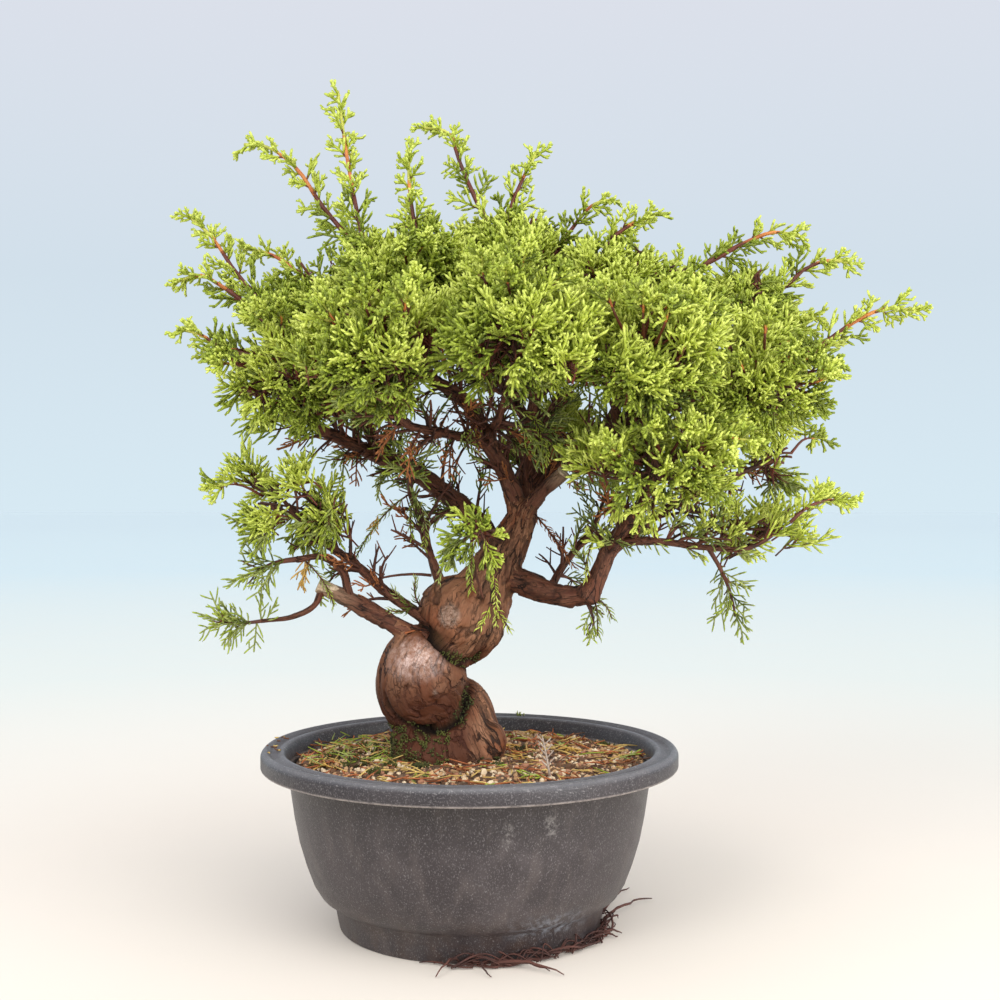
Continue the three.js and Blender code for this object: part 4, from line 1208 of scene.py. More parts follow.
full_fans = [fan(20, 8, 0.55, 0.64, 9.8, (24, 54)) for _ in range(16)]
plain_fans = [fan(18, 6, 0.2, 0.68, 8.5, (24, 54)) for _ in range(6)]
brush_fans = [fan(18, 7, 0.35, 0.56, 9.5, (22, 48)) for _ in range(10)]
tuft_fans = [fan(11, 6, 0.7, 0.66, 6.4, (28, 60), 0.25) for _ in range(10)]
small_fans = [fan(7.5, 5, 0.8, 0.72, 4.8, (32, 58), 0) for _ in range(10)]
sprig_fans = [fan(14, 6, 0.1, 0.42, 7.8, (24, 50), 0) for _ in range(8)]

# The kinds of a spray: its older cords, its fresh ones and its stalk. The greens from fresh through green to
# deep are partly the leaves' own age and partly painted light and shade.
SHADES = {
    "fresh": ("leaf_bright", "leaf_lime", "shoot_brown"),
    "green": ("leaf_green", "leaf_light", "shoot_brown"),
    "deep": ("leaf_deep", "leaf_green", "shoot_brown"),
    "dull": ("leaf_dull", "leaf_light", "shoot_brown"),
    "shaded": ("leaf_deep", "leaf_dull", "shoot_brown"),
    "pale": ("leaf_dull", "leaf_lime", "shoot_brown"),
    "gold": ("leaf_gold", "leaf_gold", "leaf_gold"),
    "dead": ("leaf_dead", "leaf_dead", "leaf_dead"),
}


def place_fan(rows, root, heading, turn, scale, shade, group):
    across = square_to(heading, turn)
    axes = np.array([heading, across, np.cross(heading, across)])
    for fresh, lines, radii in rows:
        heap_for(SHADES[shade][fresh], group).add(root + (lines * scale) @ axes, radii)


def twig(course, thick, thin, steps, group, kind="twig_bark", sides=3, start=0.0, end=1.0):
    shares = np.linspace(start, end, steps + 1)
    radii = tuple(lerp(thick, thin, (share - start) / (end - start)) for share in shares)
    heap_for(kind, group).rod(course.at(shares), radii, sides)


def jitter(k, stream, amount):
    return amount * (place(seeded(k, stream), seeded(k, stream + 1), seeded(k, stream + 2)) * 2 - 1)


TWIGS = 46  # in a dense mass, each with a bunch of fans at its end
FEWER = {
    "crown_right": 31, "crown_far_right_high": 32, "back_far_right": 25, "back_right": 36, "back_low": 26,
    "back_left": 38, "back_centre": 40, "low_right": 33, "front_right": 43,
}
TUFT = 4  # twigs that stand together
SIDE_LIMBS = 8
AIRY = {"low_left": 34, "low_far_right": 26, "crown_right_low": 30}  # fewer twigs, slender cords
# How much lighter some masses' leaves are painted, as painted light, and the masses whose leaves below are
# painted bright too
PAINTED_LIGHT_LIFT = {**dict.fromkeys(AIRY, 1.1), "low_right": 2, "crown_right": 1.2}
PAINTED_BRIGHT_BELOW = ("low_right", "crown_right", "low_far_right")
CROWN_ROOT = place(18, 4, 196)  # what the crown's growth spreads from
VIEW_LEFT, VIEW_RIGHT = -103, 149  # how far out a dense mass is seen from the front
FURTHEST_FRONT = -98  # for the tips of the short shoots
UNDER_FROM = -0.42  # headings lower than this are on the underside of a mass
SHORTEST_TWIG = 0.36  # as a share of its mass's half sizes
FAN_REACH = 17
NEEDLE, NEEDLE_GAP = 4.2, 0.75  # how long and how far apart the needles of a strand are


def group_of(name):
    """The group of pieces that a mass's leaves go to."""
    return "back" if name.startswith("back") else "left" if MASSES[name][0][0] < 0 else "right"


GROUPS = {name: group_of(name) for name in MASSES}


def shade_for(name, hub, height, share, chance):
    """The shade of a twig's leaves by how high and how far out it stands in its mass and by its mass: lighter
    greens high up, far out and on the right, partly fresher growth and partly painted light.
    """
    # Painted light: the masses on the right are lighter, and those in the middle darker
    lift = PAINTED_LIGHT_LIFT.get(name, 0.75 if hub[0] > 40 else -0.14 if hub[0] > -20 else 0.16)
    light = 0.45 * (height + lift) + 1.1 * (share - 0.75) + 0.6 * chance
    shade = "fresh" if light > 0.18 else "green" if light > -0.24 else "deep"
    return "pale" if name in AIRY and shade == "green" else shade


def shade_below(name, chance):
    """The shade of a twig's leaves on the underside of its mass: duller and darker greens, partly as painted
    shade, and some dead leaves; on some masses at the right, bright greens, as painted light.
    """
    # Painted light: the undersides of these masses get bright greens
    if name in PAINTED_BRIGHT_BELOW:
        return "fresh" if chance > -0.1 or name == "low_right" else "pale"
    if chance > 0.42:
        return "dead"
    return "dull" if name in AIRY or chance < -0.2 else "green" if chance > -0.1 else "deep"


def twiglets(path, count, stream, group):
    """Short bare side twigs."""
    for k in range(count):
        start = path.at(lerp(0.2, 0.9, seeded(k, stream)))
        turn = unit(path.heading(0.6) + square_to(path.heading(0.6), 2.1 * k + stream) * 0.9)
        far = lerp(4, 9, seeded(k, stream + 1))
        twig(bent(start, start + turn * far * 0.5, start + turn * far + UP), 0.45, 0.28, 3, group)


def side_limbs(name, number):
    """The limbs from a dense mass's stem out into it, each with its heading from the middle."""
    stream, hub, size = number + 1, mass_middles[number], mass_sizes[number]
    stem, thick = stems[name], stem_radius(name)
    limbs = []
    for k in range(SIDE_LIMBS):
        out = spread(k + 11 * stream, -0.5)
        start = stem.at(lerp(0.5, 1.0, (k + 0.5) / SIDE_LIMBS))
        end = hub + out * size * drawn_in(number, out * size, 0.55)
        if in_clearing(end) or name == "crown_right_low" and out[0] > 0:
            end = lerp(hub, end, 0.4)
        limb = bent(start, lerp(start, end, 0.5) + UP * 2 + jitter(k, stream, 3), end)
        twig(limb, thick * (0.3 if name in AIRY else 0.36), 0.6, 5, GROUPS[name], sides=5)
        limbs.append((unit(end - hub), limb))
    return limbs


def leafy_twig(name, number, limbs, k):
    """The k-th twig of a dense mass, with a bunch of fans at its end, if there is room for it."""
    group, airy, tuft = GROUPS[name], name in AIRY, k // TUFT
    stream, hub, size = number + 1, mass_middles[number], mass_sizes[number]
    out = unit(spread(tuft + 5 * stream, -0.95) + jitter(k, stream + 55, 0.3))
    under = out[2] < UNDER_FROM
    reach = lerp(0.6, 1.04, seeded(tuft, stream + 20) ** 0.6) * lerp(0.92, 1.04, seeded(k, stream + 21))
    share = drawn_in(number, out * size, min(reach, 1.03))
    if share < SHORTEST_TWIG:
        return
    tip = hub + out * size * share
    away = unit(tip - CROWN_ROOT)
    tip = under_top(tip + away * min(6, 12 * max(0, reach - share)), 2 + 6 * seeded(k, stream + 36))
    sideways = square_to(away) * lerp(-0.55, 0.55, seeded(tuft, stream + 35))
    grow = unit(out * size) * 0.4 + away * 0.5 + sideways + UP * (0 if under else 0.5)
    grow = unit(grow + jitter(k, stream + 60, 0.28))
    scale = lerp(0.84, 1.18, seeded(k, stream + 30))
    root = tip - grow * FAN_REACH * scale
    across, high = seen(tip)
    if in_clearing(root, tip, lerp(root, tip, 0.5)) or not VIEW_LEFT < across < VIEW_RIGHT:
        return
    if name == "low_far_right" and high < 160:
        return
    limb = max(limbs, key=lambda row: row[0].dot(out))[1]
    fork = limb.at(lerp(0.3, 0.95, seeded(k, stream + 31)))
    path = bent(fork, lerp(fork, root, 0.5) - UP * 1.5 + jitter(k, stream + 70, 2), root + grow * 5)
    twig(path, 0.68, 0.5, 4, group)
    chance = 0.65 * seeded(tuft, stream + 32) + 0.35 * seeded(k, stream + 34) - 0.5
    shade = shade_for(name, hub, out[2], share, chance)
    slender = airy or under or name == "low_right" and out[2] < 0.15
    fans = brush_fans if slender else plain_fans if share < 0.6 else full_fans
    if under:
        twiglets(path, 3, stream + k, group)
        shade = shade_below(name, chance)
        fans = sprig_fans if shade == "dead" else fans
    roll = math.tau * seeded(k, stream + 33)
    bunch = 4 if group == "back" or name == "low_right" else 5
    for spray in range(2 if share < 0.6 else 3 if slender else bunch):
        heading, start = grow, root
        if spray:
            wide = lerp(0.4, 0.9, seeded(k, spray + 610))
            heading = unit(grow * 0.75 + square_to(grow, roll + spray * 2.3) * wide)
            start = path.at(0.92 - 0.1 * spray)
        rows = fans[(k + 3 * stream + 5 * spray) % len(fans)]
        place_fan(rows, start, heading, roll + spray, scale * (0.9 if spray else 1), shade, group)
    if k % 2 and not airy:
        aside = unit(path.heading(0.4) * 0.5 + square_to(path.heading(0.4), roll))
        # Tufts inside the mass get only the darker greens, partly as painted shade
        shade = "green" if chance > 0 else "deep"
        place_fan(tuft_fans[k % 10], path.at(0.4), aside, roll, 1.1, shade, group)


def hub_leaves(name, number):
    """Leaves nearer the middle of a dense mass: on twigs to its front, and short ones at its hub."""
    group = GROUPS[name]
    stream, hub, size = number + 1, mass_middles[number], mass_sizes[number]
    for k in range(9 if hub[1] < -10 else 0):
        out = unit(place(lerp(-0.85, 0.85, k / 8), -0.7, lerp(-0.85, -0.2, seeded(k, stream + 90))))
        root = hub + out * size * drawn_in(number, out * size, 0.62)
        bend = lerp(hub, root, 0.6) + jitter(k, stream + 91, 3)
        twig(bent(hub + out * 4, bend, root), 0.6, 0.45, 4, group)
        shade = "green" if seeded(k, stream + 92) > 0.35 else "fresh"
        for spray in range(3):
            heading = unit(out + jitter(k + 9 * spray, stream + 93, 0.8) + place(0, -0.2, 0.25))
            if not in_clearing(root, root + heading * 7, root + heading * 14):
                place_fan(full_fans[(k + spray) % 16], root - out * 4, heading, k, 0.8, shade, group)
    for k in range(9):
        out = spread(k + 31 * stream, -0.8)
        if out[1] < 0.3 and not in_clearing(hub + out * size * 0.3):
            # The lower tufts are a deeper green, as painted shade under the mass
            shade = "green" if out[2] > -0.2 else "deep"
            heading = unit(out - UP * 0.1)
            place_fan(tuft_fans[k % 10], hub + out * size * 0.16, heading, k, 1.25, shade, group)


def mass_shoots(name, number):
    """The short shoots of a dense mass: away from the crown's root, and some more to its front."""
    group, airy = GROUPS[name], name in AIRY
    stream, hub, size = number + 1, mass_middles[number], mass_sizes[number]
    for k in range(1 if airy else 5):
        out = unit(spread(k + 23 * stream, -0.1) * 0.6 + unit(hub - CROWN_ROOT) * 0.7 + UP * 0.2)
        tip = under_top(hub + out * size * lerp(0.98, 1.16, seeded(k, stream + 80)), -2)
        root = hub + out * size * 0.3
        if fits(lerp(root, tip, 0.7), number):
            bend = lerp(root, tip, 0.5) + UP * 2 + jitter(k, stream + 81, 3)
            shoot([root, bend, tip], group, stream * 4 + k, 0.1, 1.0, 0.5)
    for k in range(4 if hub[1] < 0 and not airy else 0):
        right = lerp(-0.9, 0.9, (k + seeded(k, stream + 95)) / 4)
        out = unit(place(right, -1, lerp(-0.3, 0.9, seeded(k, stream + 96))))
        root = hub + out * size * 0.4
        tip = under_top(hub + out * size * 1.04 + UP * 9, 2)
        if fits(lerp(root, tip, 0.7), number) and tip[1] > FURTHEST_FRONT and not in_clearing(tip):
            shoot([root, lerp(root, tip, 0.6) - UP * 2, tip], group, stream * 7 + k, 0.2, 1.1, 0.62)


def dense_mass(name, number):
    """A dense mass: its stem, side limbs, leafy twigs and short shoots."""
    thick = stem_radius(name)
    twig(stems[name], thick, thick * 0.6, 7, GROUPS[name], sides=6)
    limbs = side_limbs(name, number)
    for k in range(AIRY.get(name, FEWER.get(name, TWIGS))):
        leafy_twig(name, number, limbs, k)
    if name not in AIRY:
        hub_leaves(name, number)
    mass_shoots(name, number)


def shoot(points, group, stream, warm, thick=1.25, bare=0.06):
    """A long shoot: brown at its foot, then orange and green, with small fans on alternate sides."""
    course = through(points)
    thick = min(thick, course.length / 36)
    orange_from, green_from = 0.72 - 0.3 * warm, 0.78
    lengths = (
        ("shoot_brown", 0, orange_from),
        ("shoot_orange", orange_from - 0.02, green_from),
        ("shoot_green", green_from - 0.02, 0.97),
    )
    for kind, low, high in lengths:
        ends = (lerp(thick, thick * 0.5, low), lerp(thick, thick * 0.5, high))
        twig(course, *ends, 5, group, kind, 6, low, high)
    count = max(5, int(course.length / (5 if bare > 0.4 else 3.7)))
    for k in range(count):
        share = lerp(bare, 0.95, k / (count - 1))
        along = course.heading(share)
        aside = square_to(along, 2.4 * k + 1.2 * seeded(k, stream))
        heading = unit(along * 0.75 + aside * 0.65)
        scale = lerp(1.78, 0.88, share) * lerp(0.85, 1.15, seeded(k, stream + 8))
        shade = "green" if (share < 0.5 or bare > 0.4) and seeded(k, stream + 5) > 0.4 else "fresh"
        rows, scale = (tuft_fans, scale * 0.72) if scale > 1.15 else (small_fans, scale)
        rows, turn = rows[(k + stream) % 10], 3 * seeded(k, stream + 9)
        place_fan(rows, course.at(share), heading, turn, scale, shade, group)
    place_fan(small_fans[stream % 10], course.at(0.86), course.heading(0.97), 0.5, 0.8, "fresh", group)


def side_of(spot):
    """The group of pieces that a strand or a spray goes to."""
    return "left" if spot[0] < 12 else "right"


def strand(points, shade, group):
    """A hanging strand of young growth, with short needles all round it."""
    course = bent(*points)
    twig(course, 0.5, 0.35, 6, group)
    count = int(course.length / NEEDLE_GAP)
    for fresh, low, high in ((0, 0, int(count * 0.6)), (1, int(count * 0.6), count)):
        lines = []
        for k in range(low, high):
            share = 0.1 + 0.9 * k / count
            along = course.heading(share)
            aside = square_to(along, 2.4 * k + 2.2 * seeded(k, 78)) * lerp(0.5, 0.95, seeded(k, 79))
            heading = unit(along * 0.8 + aside)
            root = course.at(share)
            far = NEEDLE * lerp(0.6, 1.2, seeded(k, 77)) * (1.1 - 0.3 * share)
            lines.append((root, root + heading * far * 0.6, root + unit(heading + along * 0.4) * far))
        heap_for(SHADES[shade][fresh], group).add(np.array(lines), np.array([(0.24, 0.28, 0)] * len(lines)))


FRONT_OUT = -41  # how far out to the front the sprays before the trunk stand
# The sprays in front of the trunk: across, up, how far they head right and up, the scale and the shade
FRONT_SPRAYS = [
    (6, 169, -0.75, 0.6, 0.8, "fresh"), (5, 168, -0.95, 0.15, 0.85, "green"),
    (5, 170, -0.25, 0.85, 0.62, "green"), (6, 168, 0.4, -0.65, 0.72, "fresh"),
    (8, 167, 0.1, -1, 0.8, "green"), (1, 168, -0.9, -0.35, 0.75, "dull"),
    (-1, 167, -0.5, -0.9, 0.75, "dull"), (8, 168, 0.7, 0.25, 0.45, "fresh"),
    (3, 168, -0.6, -0.75, 0.6, "green"), (7, 169, 0.2, 0.7, 0.5, "green"),
]


def loose_mass(name, number):
    """A loose mass: its stem with slender sprigs on all sides, and twiglets."""
    group = GROUPS[name]
    stream = number + 1
    *_, count, length = LOOSE[name]
    stem = stems[name]
    twig(stem, stem_radius(name), 0.5, 8, group, sides=5)
    twiglets(stem, 3, stream, group)
    if name == "trunk_front":
        for k, (x, z, right, up, scale, shade) in enumerate(FRONT_SPRAYS):
            heading = unit(place(right, -0.35, up))
            turn = 1.5 + 0.9 * (seeded(k, 624) - 0.5)
            place_fan(full_fans[3 * k % 16], place(x, FRONT_OUT, z), heading, turn, scale, shade, group)
        for k in range(5):
            heading = unit(place(seeded(k, 625) - 0.5, -1, 0.5 * seeded(k, 626)))
            root = place(5 - 2.4 * k, FRONT_OUT, 168 + seeded(k, 627) * 3)
            place_fan(tuft_fans[k], root, heading, k, 0.7, "green", group)
        return
    finer = int(count * 1.8)
    for k in range(finer):
        share = 0.3 + 0.68 * k / finer
        root = stem.at(share)
        along = stem.heading(share)
        aside = square_to(along, 2.4 * k + seeded(k, stream))
        heading = unit(along * 0.6 + aside * 0.85 - UP * 0.15)
        scale = length / 13 * lerp(0.75, 1.15, seeded(k, stream + 3))
        rows, turn = sprig_fans[(k + stream) % 8], 3 * seeded(k, stream + 40)
        place_fan(rows, root, heading, turn, scale, "dull" if k % 3 else "shaded", group)
    place_fan(sprig_fans[stream % 8], stem.at(0.95), stem.heading(1), 0.3, length / 14, "dull", group)


# Strands that hang or stand apart: the leaf shade and the strand's places
STRANDS = [
    ("fresh", (5, -46, 171), (12, -47, 158), (11.5, -40, 132)),
    ("green", (5, -46, 171), (0, -47, 160), (1.5, -43, 146)),
    ("shaded", (4, -46, 170), (-9, -46, 166), (-12, -44, 150)),
    ("fresh", (9.5, -42, 141), (14, -43, 136), (17, -41, 130)),
    ("fresh", (9.5, -42, 141), (7, -43, 136), (5, -41, 131)),
    ("dull", (-26, 2, 186), (-40, -2, 178), (-50, -4, 157)),
    ("dull", (-22, 0, 188), (-28, -4, 180), (-25, -5, 166)),
    ("dull", (-24, 2, 184), (-18, -4, 178), (-20, -5, 162)),
    ("dull", (-70, -19, 158), (-60, -19, 150), (-57, -19, 138)),
    ("fresh", (20, -30, 219), (29, -33, 222), (33, -33, 198)),
    ("dead", (33, -30, 213), (38, -32, 213), (44, -32, 204)),
    ("shaded", (31, -30, 215), (38, -32, 208), (40, -32, 196)),
    ("fresh", (55, -20, 164), (50, -24, 172), (49, -23, 149)),
    ("dull", (53, -20, 140), (54, -22, 138), (54, -22, 126)),
    ("dull", (52, -19, 141), (57, -22, 142), (60, -22, 133)),
    ("shaded", (-21, -7, 137), (-25, -9, 142), (-23, -10, 150)),
    ("shaded", (-22, -7, 136), (-30, -10, 139), (-33, -10, 145)),
    ("shaded", (-24, -8, 137), (-30, -10, 134), (-35, -10, 136)),
    ("dead", (0, -14, 222), (2, -20, 214), (4, -21, 203)),
    ("dead", (-4, -10, 226), (-14, -22, 216), (-13, -24, 206)),
    ("dead", (62, -32, 184), (58, -36, 180), (53, -37, 176)),
    ("dead", (64, -32, 182), (66, -36, 180), (70, -37, 174)),
    ("dead", (27, -2, 178), (36, -8, 168), (45, -10, 154)),
]
# Slender sprays set apart from the masses: the shade, the place, the heading and the scale
SPRAYS = [
    ("dull", (-3, -45, 167), (-0.6, 0, -0.7), 0.85),
    ("shaded", (-1, -44, 166), (0.1, 0.1, -1), 0.95),
    ("shaded", (-4, -44, 166), (-0.3, 0.1, -1), 0.8),
    ("gold", (-67, -18, 158.5), (-0.4, -0.1, -1), 0.85),
    ("gold", (-69, -19, 158.5), (-0.15, 0, -1), 0.95),
    ("gold", (-40, -2, 176), (-0.3, 0, -1), 0.6),
    ("dull", (-88, -17, 131.8), (0.2, 0, 1), 0.8),
    ("dull", (-86, -17, 131.8), (0.6, -0.1, 0.9), 0.7),
    ("dull", (-90, -17, 131.5), (-0.1, 0, -1), 0.9),
    ("dull", (-93, -17, 131), (-0.6, -0.1, 0.7), 0.75),
    ("green", (-96, -17, 131), (-1, 0, 0.35), 0.65),
    ("dull", (-64, -14, 145), (0.3, -0.1, -1), 0.5),
    ("pale", (82, -26, 166), (0.3, -0.4, 0.9), 0.85),
    ("fresh", (90, -25, 165), (0.6, -0.5, 0.5), 0.85),
    ("pale", (96, -24, 164), (0.2, -0.4, 0.9), 0.95),
    ("pale", (88, -25, 165), (0.7, -0.4, -0.4), 0.7),
    ("fresh", (104, -23, 163), (0.5, -0.5, 0.7), 0.9),
    ("pale", (108, -22, 162.5), (0.8, -0.4, -0.2), 0.75),
    ("fresh", (76, -26, 166), (-0.3, -0.5, 0.8), 0.8),
    ("pale", (70, -25, 166), (0.1, -0.6, 0.7), 0.75),
    ("pale", (64, -23, 163), (-0.7, -0.6, 0.3), 0.8),
    ("fresh", (61, -22, 162), (-0.9, -0.4, 0.5), 0.8),
    ("pale", (84, -16, 179), (0.4, -0.5, -0.5), 0.9),
    ("fresh", (92, -15, 183), (0.8, -0.6, -0.3), 0.85),
    ("pale", (98, -14, 186), (0.7, -0.5, 0.5), 0.85),
]


BARE_BOUGHS = ("left_stub", "fork_stub", "right_low", "left_stub_rise", "lowest_left_twig")
CROWDED_BOUGHS = ("front_left_bough", "front_centre_bough", "back_low_bough", "left_back")


def inner_twigs():
    """Thin side twigs along the boughs, forked, and some with a slender dull sprig."""
    for stream, (name, (_, thick, *_)) in enumerate(BOUGHS.items()):
        course = bough_courses[name]
        group = "right" if course.at(0.5)[0] > 0 else "left"
        if name in BARE_BOUGHS:
            continue
        crowded = thick > 4 or name in CROWDED_BOUGHS
        for k in range(max(3, int(course.length / (2.4 if crowded else 5)))):
            share = lerp(0.15 if crowded else 0.25, 0.98, seeded(k, stream + 401))
            along = course.heading(share)
            aside = square_to(along, 2.4 * k + stream)
            out = unit(along * 0.6 + aside * 0.8 + UP * 0.1)
            if name == "right_low_out":
                out[2] = abs(out[2])
            far = lerp(9, 24, seeded(k, stream + 402))
            root = course.at(share)
            tip = root + out * far + jitter(k, stream + 403, 3)
            path = bent(root, root + out * far * 0.5 + UP * 2 + jitter(k, stream + 405, 2), tip)
            twig(path, 0.9, 0.4, 5, group, sides=4)
            twiglets(path, 3, stream + 11 * k, group)
            chance = seeded(k, stream + 404)
            if chance > 0.5:
                shade = "dead" if chance > 0.9 else "shaded" if chance > 0.68 else "dull"
                place_fan(sprig_fans[k % 8], path.at(0.8), path.heading(1), 3 * chance, 0.9, shade, group)
                place_fan(sprig_fans[(k + 3) % 8], path.at(0.5), out, 2 * chance, 0.75, shade, group)


for number, name in enumerate(MASSES):
    if name in DENSE:
        dense_mass(name, number)
    else:
        loose_mass(name, number)
for number, (name, warm, points) in enumerate(SHOOTS):
    shoot(points, GROUPS[name], number, warm)
for shade, *points in STRANDS:
    strand(points, shade, side_of(points[0]))
for number, (shade, root, heading, scale) in enumerate(SPRAYS):
    fans = brush_fans if shade in ("fresh", "green", "pale") else sprig_fans
    heading = unit(place(*heading))
    place_fan(fans[number % 8], place(*root), heading, number, scale, shade, side_of(root))
inner_twigs()
twig(bent((14, -8, 166), (12, -28, 172), (4, -40, 171)), 1.1, 0.6, 6, "left", sides=5)
twig(bent((-17, 3, 150), (-30, -1, 152), (-43, -4, 148)), 0.7, 0.4, 6, "left", sides=4)


# Litter, moss and roots
def litter():
    """Needles and straws on the soil, with a few dry sprigs."""
    kinds = ["litter_rust", "litter_brown", "litter_straw", "leaf_light"]
    for k in range(520):
        spot = soil_spot() + UP * draw.uniform(0.6, 1.8)
        heading = unit(about(draw.uniform(0, math.tau), draw.uniform(-0.1, 0.25)))
        length = draw.uniform(3, 14)
        bend = spot + heading * length * 0.5 + jitter(k, 90, 0.8)
        kind = kinds[draw.choice(4, p=[0.38, 0.26, 0.28, 0.08])]
        heap_for(kind, "soil").rod([spot, bend, spot + heading * length], (0.34, 0.38, 0.25))
    for k in range(90):
        spot = place(draw.uniform(-64, -28), draw.uniform(-30, 34), SOIL_LEVEL + draw.uniform(0.6, 2.5))
        heading = unit(about(draw.uniform(0, math.tau), draw.uniform(0, 0.5)))
        blade = [spot, spot + heading * 3, spot + heading * draw.uniform(5, 10)]
        heap_for(("leaf_light", "leaf_dull", "litter_straw")[k % 3], "soil").rod(blade, (0.26, 0.3, 0.2))
    for k in range(36):
        spot = soil_spot() + UP * 1.2
        heading = unit(about(draw.uniform(0, math.tau), 0.06))
        shade = ("dead", "gold", "dead", "dull")[k % 4]
        turn, scale = draw.uniform(-0.3, 0.3), draw.uniform(0.5, 0.8)
        place_fan(sprig_fans[k % 8], spot, heading, turn, scale, shade, "soil")
    for k in range(16):
        turn = math.radians(lerp(166, 194, seeded(k, 550)))
        spot = about(turn) * lerp(81.5, 88, seeded(k, 551)) + UP * (POT_HEIGHT + 0.1)
        along = jitter(k, 552, 2.2) * (1, 1, 0.1)
        kind = "litter_brown" if k % 3 else "litter_straw"
        heap_for(kind, "soil").rod([spot, spot + along], (0.42, 0.36))
    dry = bent((33, -46, 72), (32, -45, 79), (30, -44, 88))
    twig(dry, 0.6, 0.3, 5, "soil", "litter_dry")
    for k in range(9):
        root = dry.at(0.2 + 0.08 * k)
        side = unit(UP + place(1 if k % 2 else -1, 0.2, 0) * 0.9)
        twig(bent(root, root + side * 2, root + side * 4.2), 0.4, 0.25, 2, "soil", "litter_dry")


# The middle of each pad of moss on the soil, and its breadth
MOSS_PADS = [
    (-50, -16, 9), (-58, 6, 11), (-44, 28, 10), (-38, -34, 5), (-32, -22, 6), (12, -27, 4), (-38, -8, 9),
    (-38, 8, 9), (-64, -14, 6), (-22, 28, 7), (24, 10, 5), (-20, -27, 5), (24, -8, 4), (60, 36, 5),
]


def moss_tufts():
    """Short moss in the trunk's creases, round its foot and in pads on the soil."""
    tuft = heap_for("moss_green", "soil")
    for k, (spot, out) in enumerate(MOSS_SPOTS):
        lean = unit(out + jitter(k, 510, 0.8) + UP * 0.4)
        tall = lerp(0.7, 1.9, seeded(k, 511))
        tuft.rod([spot, spot + lean * tall * 0.6, spot + lean * tall], (0.36, 0.34, 0))
    for k in range(8):
        spot = place(22.9, 79.4, POT_HEIGHT) + jitter(k, 540, 1.5) * (1.4, 0.6, 0)
        sprig = [spot, spot + UP + jitter(k, 541, 0.6), spot + UP * 2 + jitter(k, 542, 1.4)]
        heap_for("leaf_dull", "soil").rod(sprig, (0.45, 0.4, 0))
    for x, y, wide in MOSS_PADS:
        for _ in range(int(wide * 15)):
            away = draw.normal(0, wide * 0.42, 2)
            spot = place(x + away[0], y + away[1], 0)
            radius = math.hypot(spot[0], spot[1])
            if radius > 74:
                continue
            spot[2] = float(soil_height(radius)) + 0.2
            lean = unit(place(*draw.normal(0, 0.5, 2), 1))
            tall = draw.uniform(1.2, 2.6)
            tuft.rod([spot, spot + lean * tall * 0.6, spot + lean * tall], (0.45, 0.4, 0))


# The roots that stray from the mat at the pot's foot, seen from above
STRAYS = [
    [(-2, -56), (-8, -62), (-11, -72)],
    [(6, -58), (4, -66), (9.6, -72)],
    [(10, -60), (24, -64), (37.6, -69)],
    [(14, -60), (26, -61), (33, -66)],
    [(57, 6), (64, 24), (74, 46)],
    [(58, 0), (68, 10), (82, 30)],
    [(57, -8), (62, -6), (65, 0)],
    [(54, -20), (58, -24), (62, -25)],
    [(52, -26), (60, -25), (64, -20)],
]


def foot_roots():
    """Thin roots that have crept out from under the pot: a mat round its foot and a few that stray."""
    heap = heap_for("root_brown", "floor")

    def root(line, thick):
        line[:, 2] = np.maximum(line[:, 2], 0.75)
        heap.rod(line, tuple(lerp(thick, 0.25, share) for share in np.linspace(0, 1, len(line))), 4)

    for k in range(70):
        turn = math.radians(lerp(-98, -8, (k + seeded(k, 301)) / 70))
        sweep = lerp(0.12, 0.42, seeded(k, 302)) * (1 if seeded(k, 303) > 0.3 else -1)
        far = FOOT_RADIUS + lerp(-0.5, 3.4, seeded(k, 304))
        turns = turn + sweep * np.linspace(0, 1, 9)
        wide = far + 2.2 * np.sin(np.linspace(0, 5, 9) + k)
        high = 0.8 + 5.5 * seeded(k, 305) ** 2 * np.sin(np.linspace(0, math.pi, 9))
        line = np.stack([wide * np.cos(turns), wide * np.sin(turns), high], axis=1)
        root(line, lerp(0.28, 0.56, seeded(k, 306)))
    for k, (start, bend, end) in enumerate(STRAYS):
        course = bent((*start, 1.2), (*bend, 2.2 + 4 * seeded(k, 307)), (*end, 0.8))
        line = course.at(np.linspace(0, 1, 9))
        line += np.array([jitter(step, 310 + k, 0.8) for step in range(9)]) * (1, 1, 0.4)
        root(line, lerp(0.6, 0.85, seeded(k, 308)))


trunk_piece()
litter()
moss_tufts()
foot_roots()

# The slots of the small things that aren't foliage, and the kinds that stand for the masses' nodes
SLOTS = {
    "twig_bark": "bough_bark", "shoot_brown": "bough_bark", "root_brown": "bark",
    **dict.fromkeys(("litter_rust", "litter_straw", "litter_dry", "litter_brown"), "soil_mix"),
}
STANDS_FOR_MASSES = ("twig_bark", "leaf_green")

boughs_piece()
stub_ends_piece()
pot_piece()
soil_piece()
grit_pieces()
for (kind, group), heap in heaps.items():
    corners, faces = heap.meshed()
    nodes = [name for name in MASSES if GROUPS[name] == group and kind in STANDS_FOR_MASSES]
    for part, rows in enumerate(np.array_split(faces, math.ceil(len(faces) / PIECE_LIMIT))):
        used, index = np.unique(rows, return_inverse=True)
        piece = piece_of(f"{kind}_{group}_{part + 1}", corners[used], index.reshape(-1, 3), FINISHES[kind])
        finished(piece, SLOTS.get(kind, "foliage"), *nodes)

# Camera, floor and light
camera_data = bpy.data.cameras.new("camera")
camera_data.lens = 48.6
camera_data.sensor_width = 36
camera_data.clip_start = 0.01
camera = bpy.data.objects.new("camera", camera_data)
camera.location = (EYE_ACROSS * MM, -EYE_OUT * MM, EYE_HIGH * MM)
camera.rotation_euler = (math.radians(90), 0, 0)
bpy.context.scene.collection.objects.link(camera)
bpy.context.scene.camera = camera

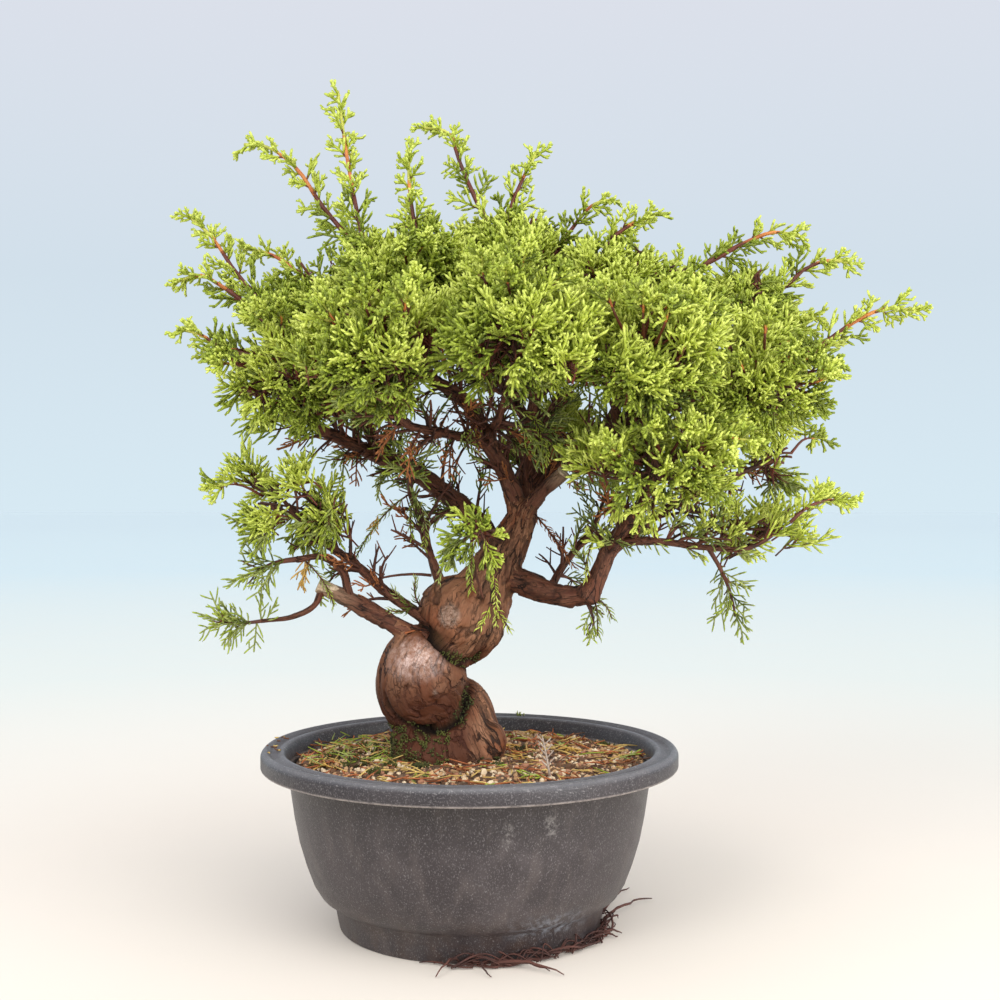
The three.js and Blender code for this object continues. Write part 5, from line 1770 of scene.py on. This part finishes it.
floor_bm = bmesh.new()
bmesh.ops.create_circle(floor_bm, cap_ends=True, segments=96, radius=20000)
bmesh.ops.translate(floor_bm, vec=(0, 0, -0.05), verts=floor_bm.verts)
paper = Finish("floor_paper")
far = paper.measured(paper.where)
tone = paper.layered(
    paint(235, 226, 213),
    (paper.between(far, 250, 900), (216, 223, 217)),
    (paper.between(far, 900, 3000), (198, 218, 223)),
    (paper.between(far, 3000, 9000), (194, 213.5, 220)),
    (0.15 * paper.cloud(60, 2), (226, 218, 206)),
)
piece_from("floor", floor_bm, paper.done(tone, 0.85))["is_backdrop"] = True

world = bpy.data.worlds.new("studio")
bpy.context.scene.world = world
world.use_nodes = True
tree = world.node_tree
tree.nodes.clear()
sky_place = tree.nodes.new("ShaderNodeTexCoord")
split = tree.nodes.new("ShaderNodeSeparateXYZ")
ramp = tree.nodes.new("ShaderNodeValToRGB")
stops = ramp.color_ramp.elements
stops[0].color = paint(215, 233, 243)
stops[1].position, stops[1].color = 0.4, paint(222, 224, 234)
stops.new(0.16).color = paint(210, 224, 235)
background = tree.nodes.new("ShaderNodeBackground")
output = tree.nodes.new("ShaderNodeOutputWorld")
tree.links.new(sky_place.outputs["Generated"], split.inputs[0])
tree.links.new(split.outputs["Z"], ramp.inputs["Fac"])
tree.links.new(ramp.outputs["Color"], background.inputs["Color"])
tree.links.new(background.outputs["Background"], output.inputs["Surface"])


def soft_light(name, kind, spot, size, power, colour=(1, 1, 1)):
    """A lamp that looks at the middle of the tree, with its place and size in metres, or a sun's angle."""
    data = bpy.data.lights.new(name, kind)
    if kind == "SUN":
        data.angle = size
    else:
        data.shape = "DISK"
        data.size = size
    data.energy = power
    data.color = colour
    lamp = bpy.data.objects.new(name, data)
    lamp.location = spot
    aim = Vector((0.02, 0, 0.2)) - Vector(spot)
    lamp.rotation_euler = aim.to_track_quat("-Z", "Y").to_euler()
    bpy.context.scene.collection.objects.link(lamp)


WARM = (1.0, 0.98, 0.94)
soft_light("key", "SUN", (-0.2, -0.8, 1.3), math.radians(70), 0.92, WARM)
soft_light("side", "SUN", (1.0, -0.9, 0.9), math.radians(70), 1.15, WARM)
soft_light("low_fill", "SUN", (1.3, -0.8, 0.25), math.radians(75), 0.75)
soft_light("low_right", "AREA", (0.4, -0.38, 0.13), 0.35, 1.15)
soft_light("front", "AREA", (-0.7, -1.1, 0.9), 0.7, 7)
bpy.context.scene.view_settings.view_transform = "Standard"

rows = {"cad": [list(corner) for corner in model_box], "visual": [list(corner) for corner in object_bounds()]}
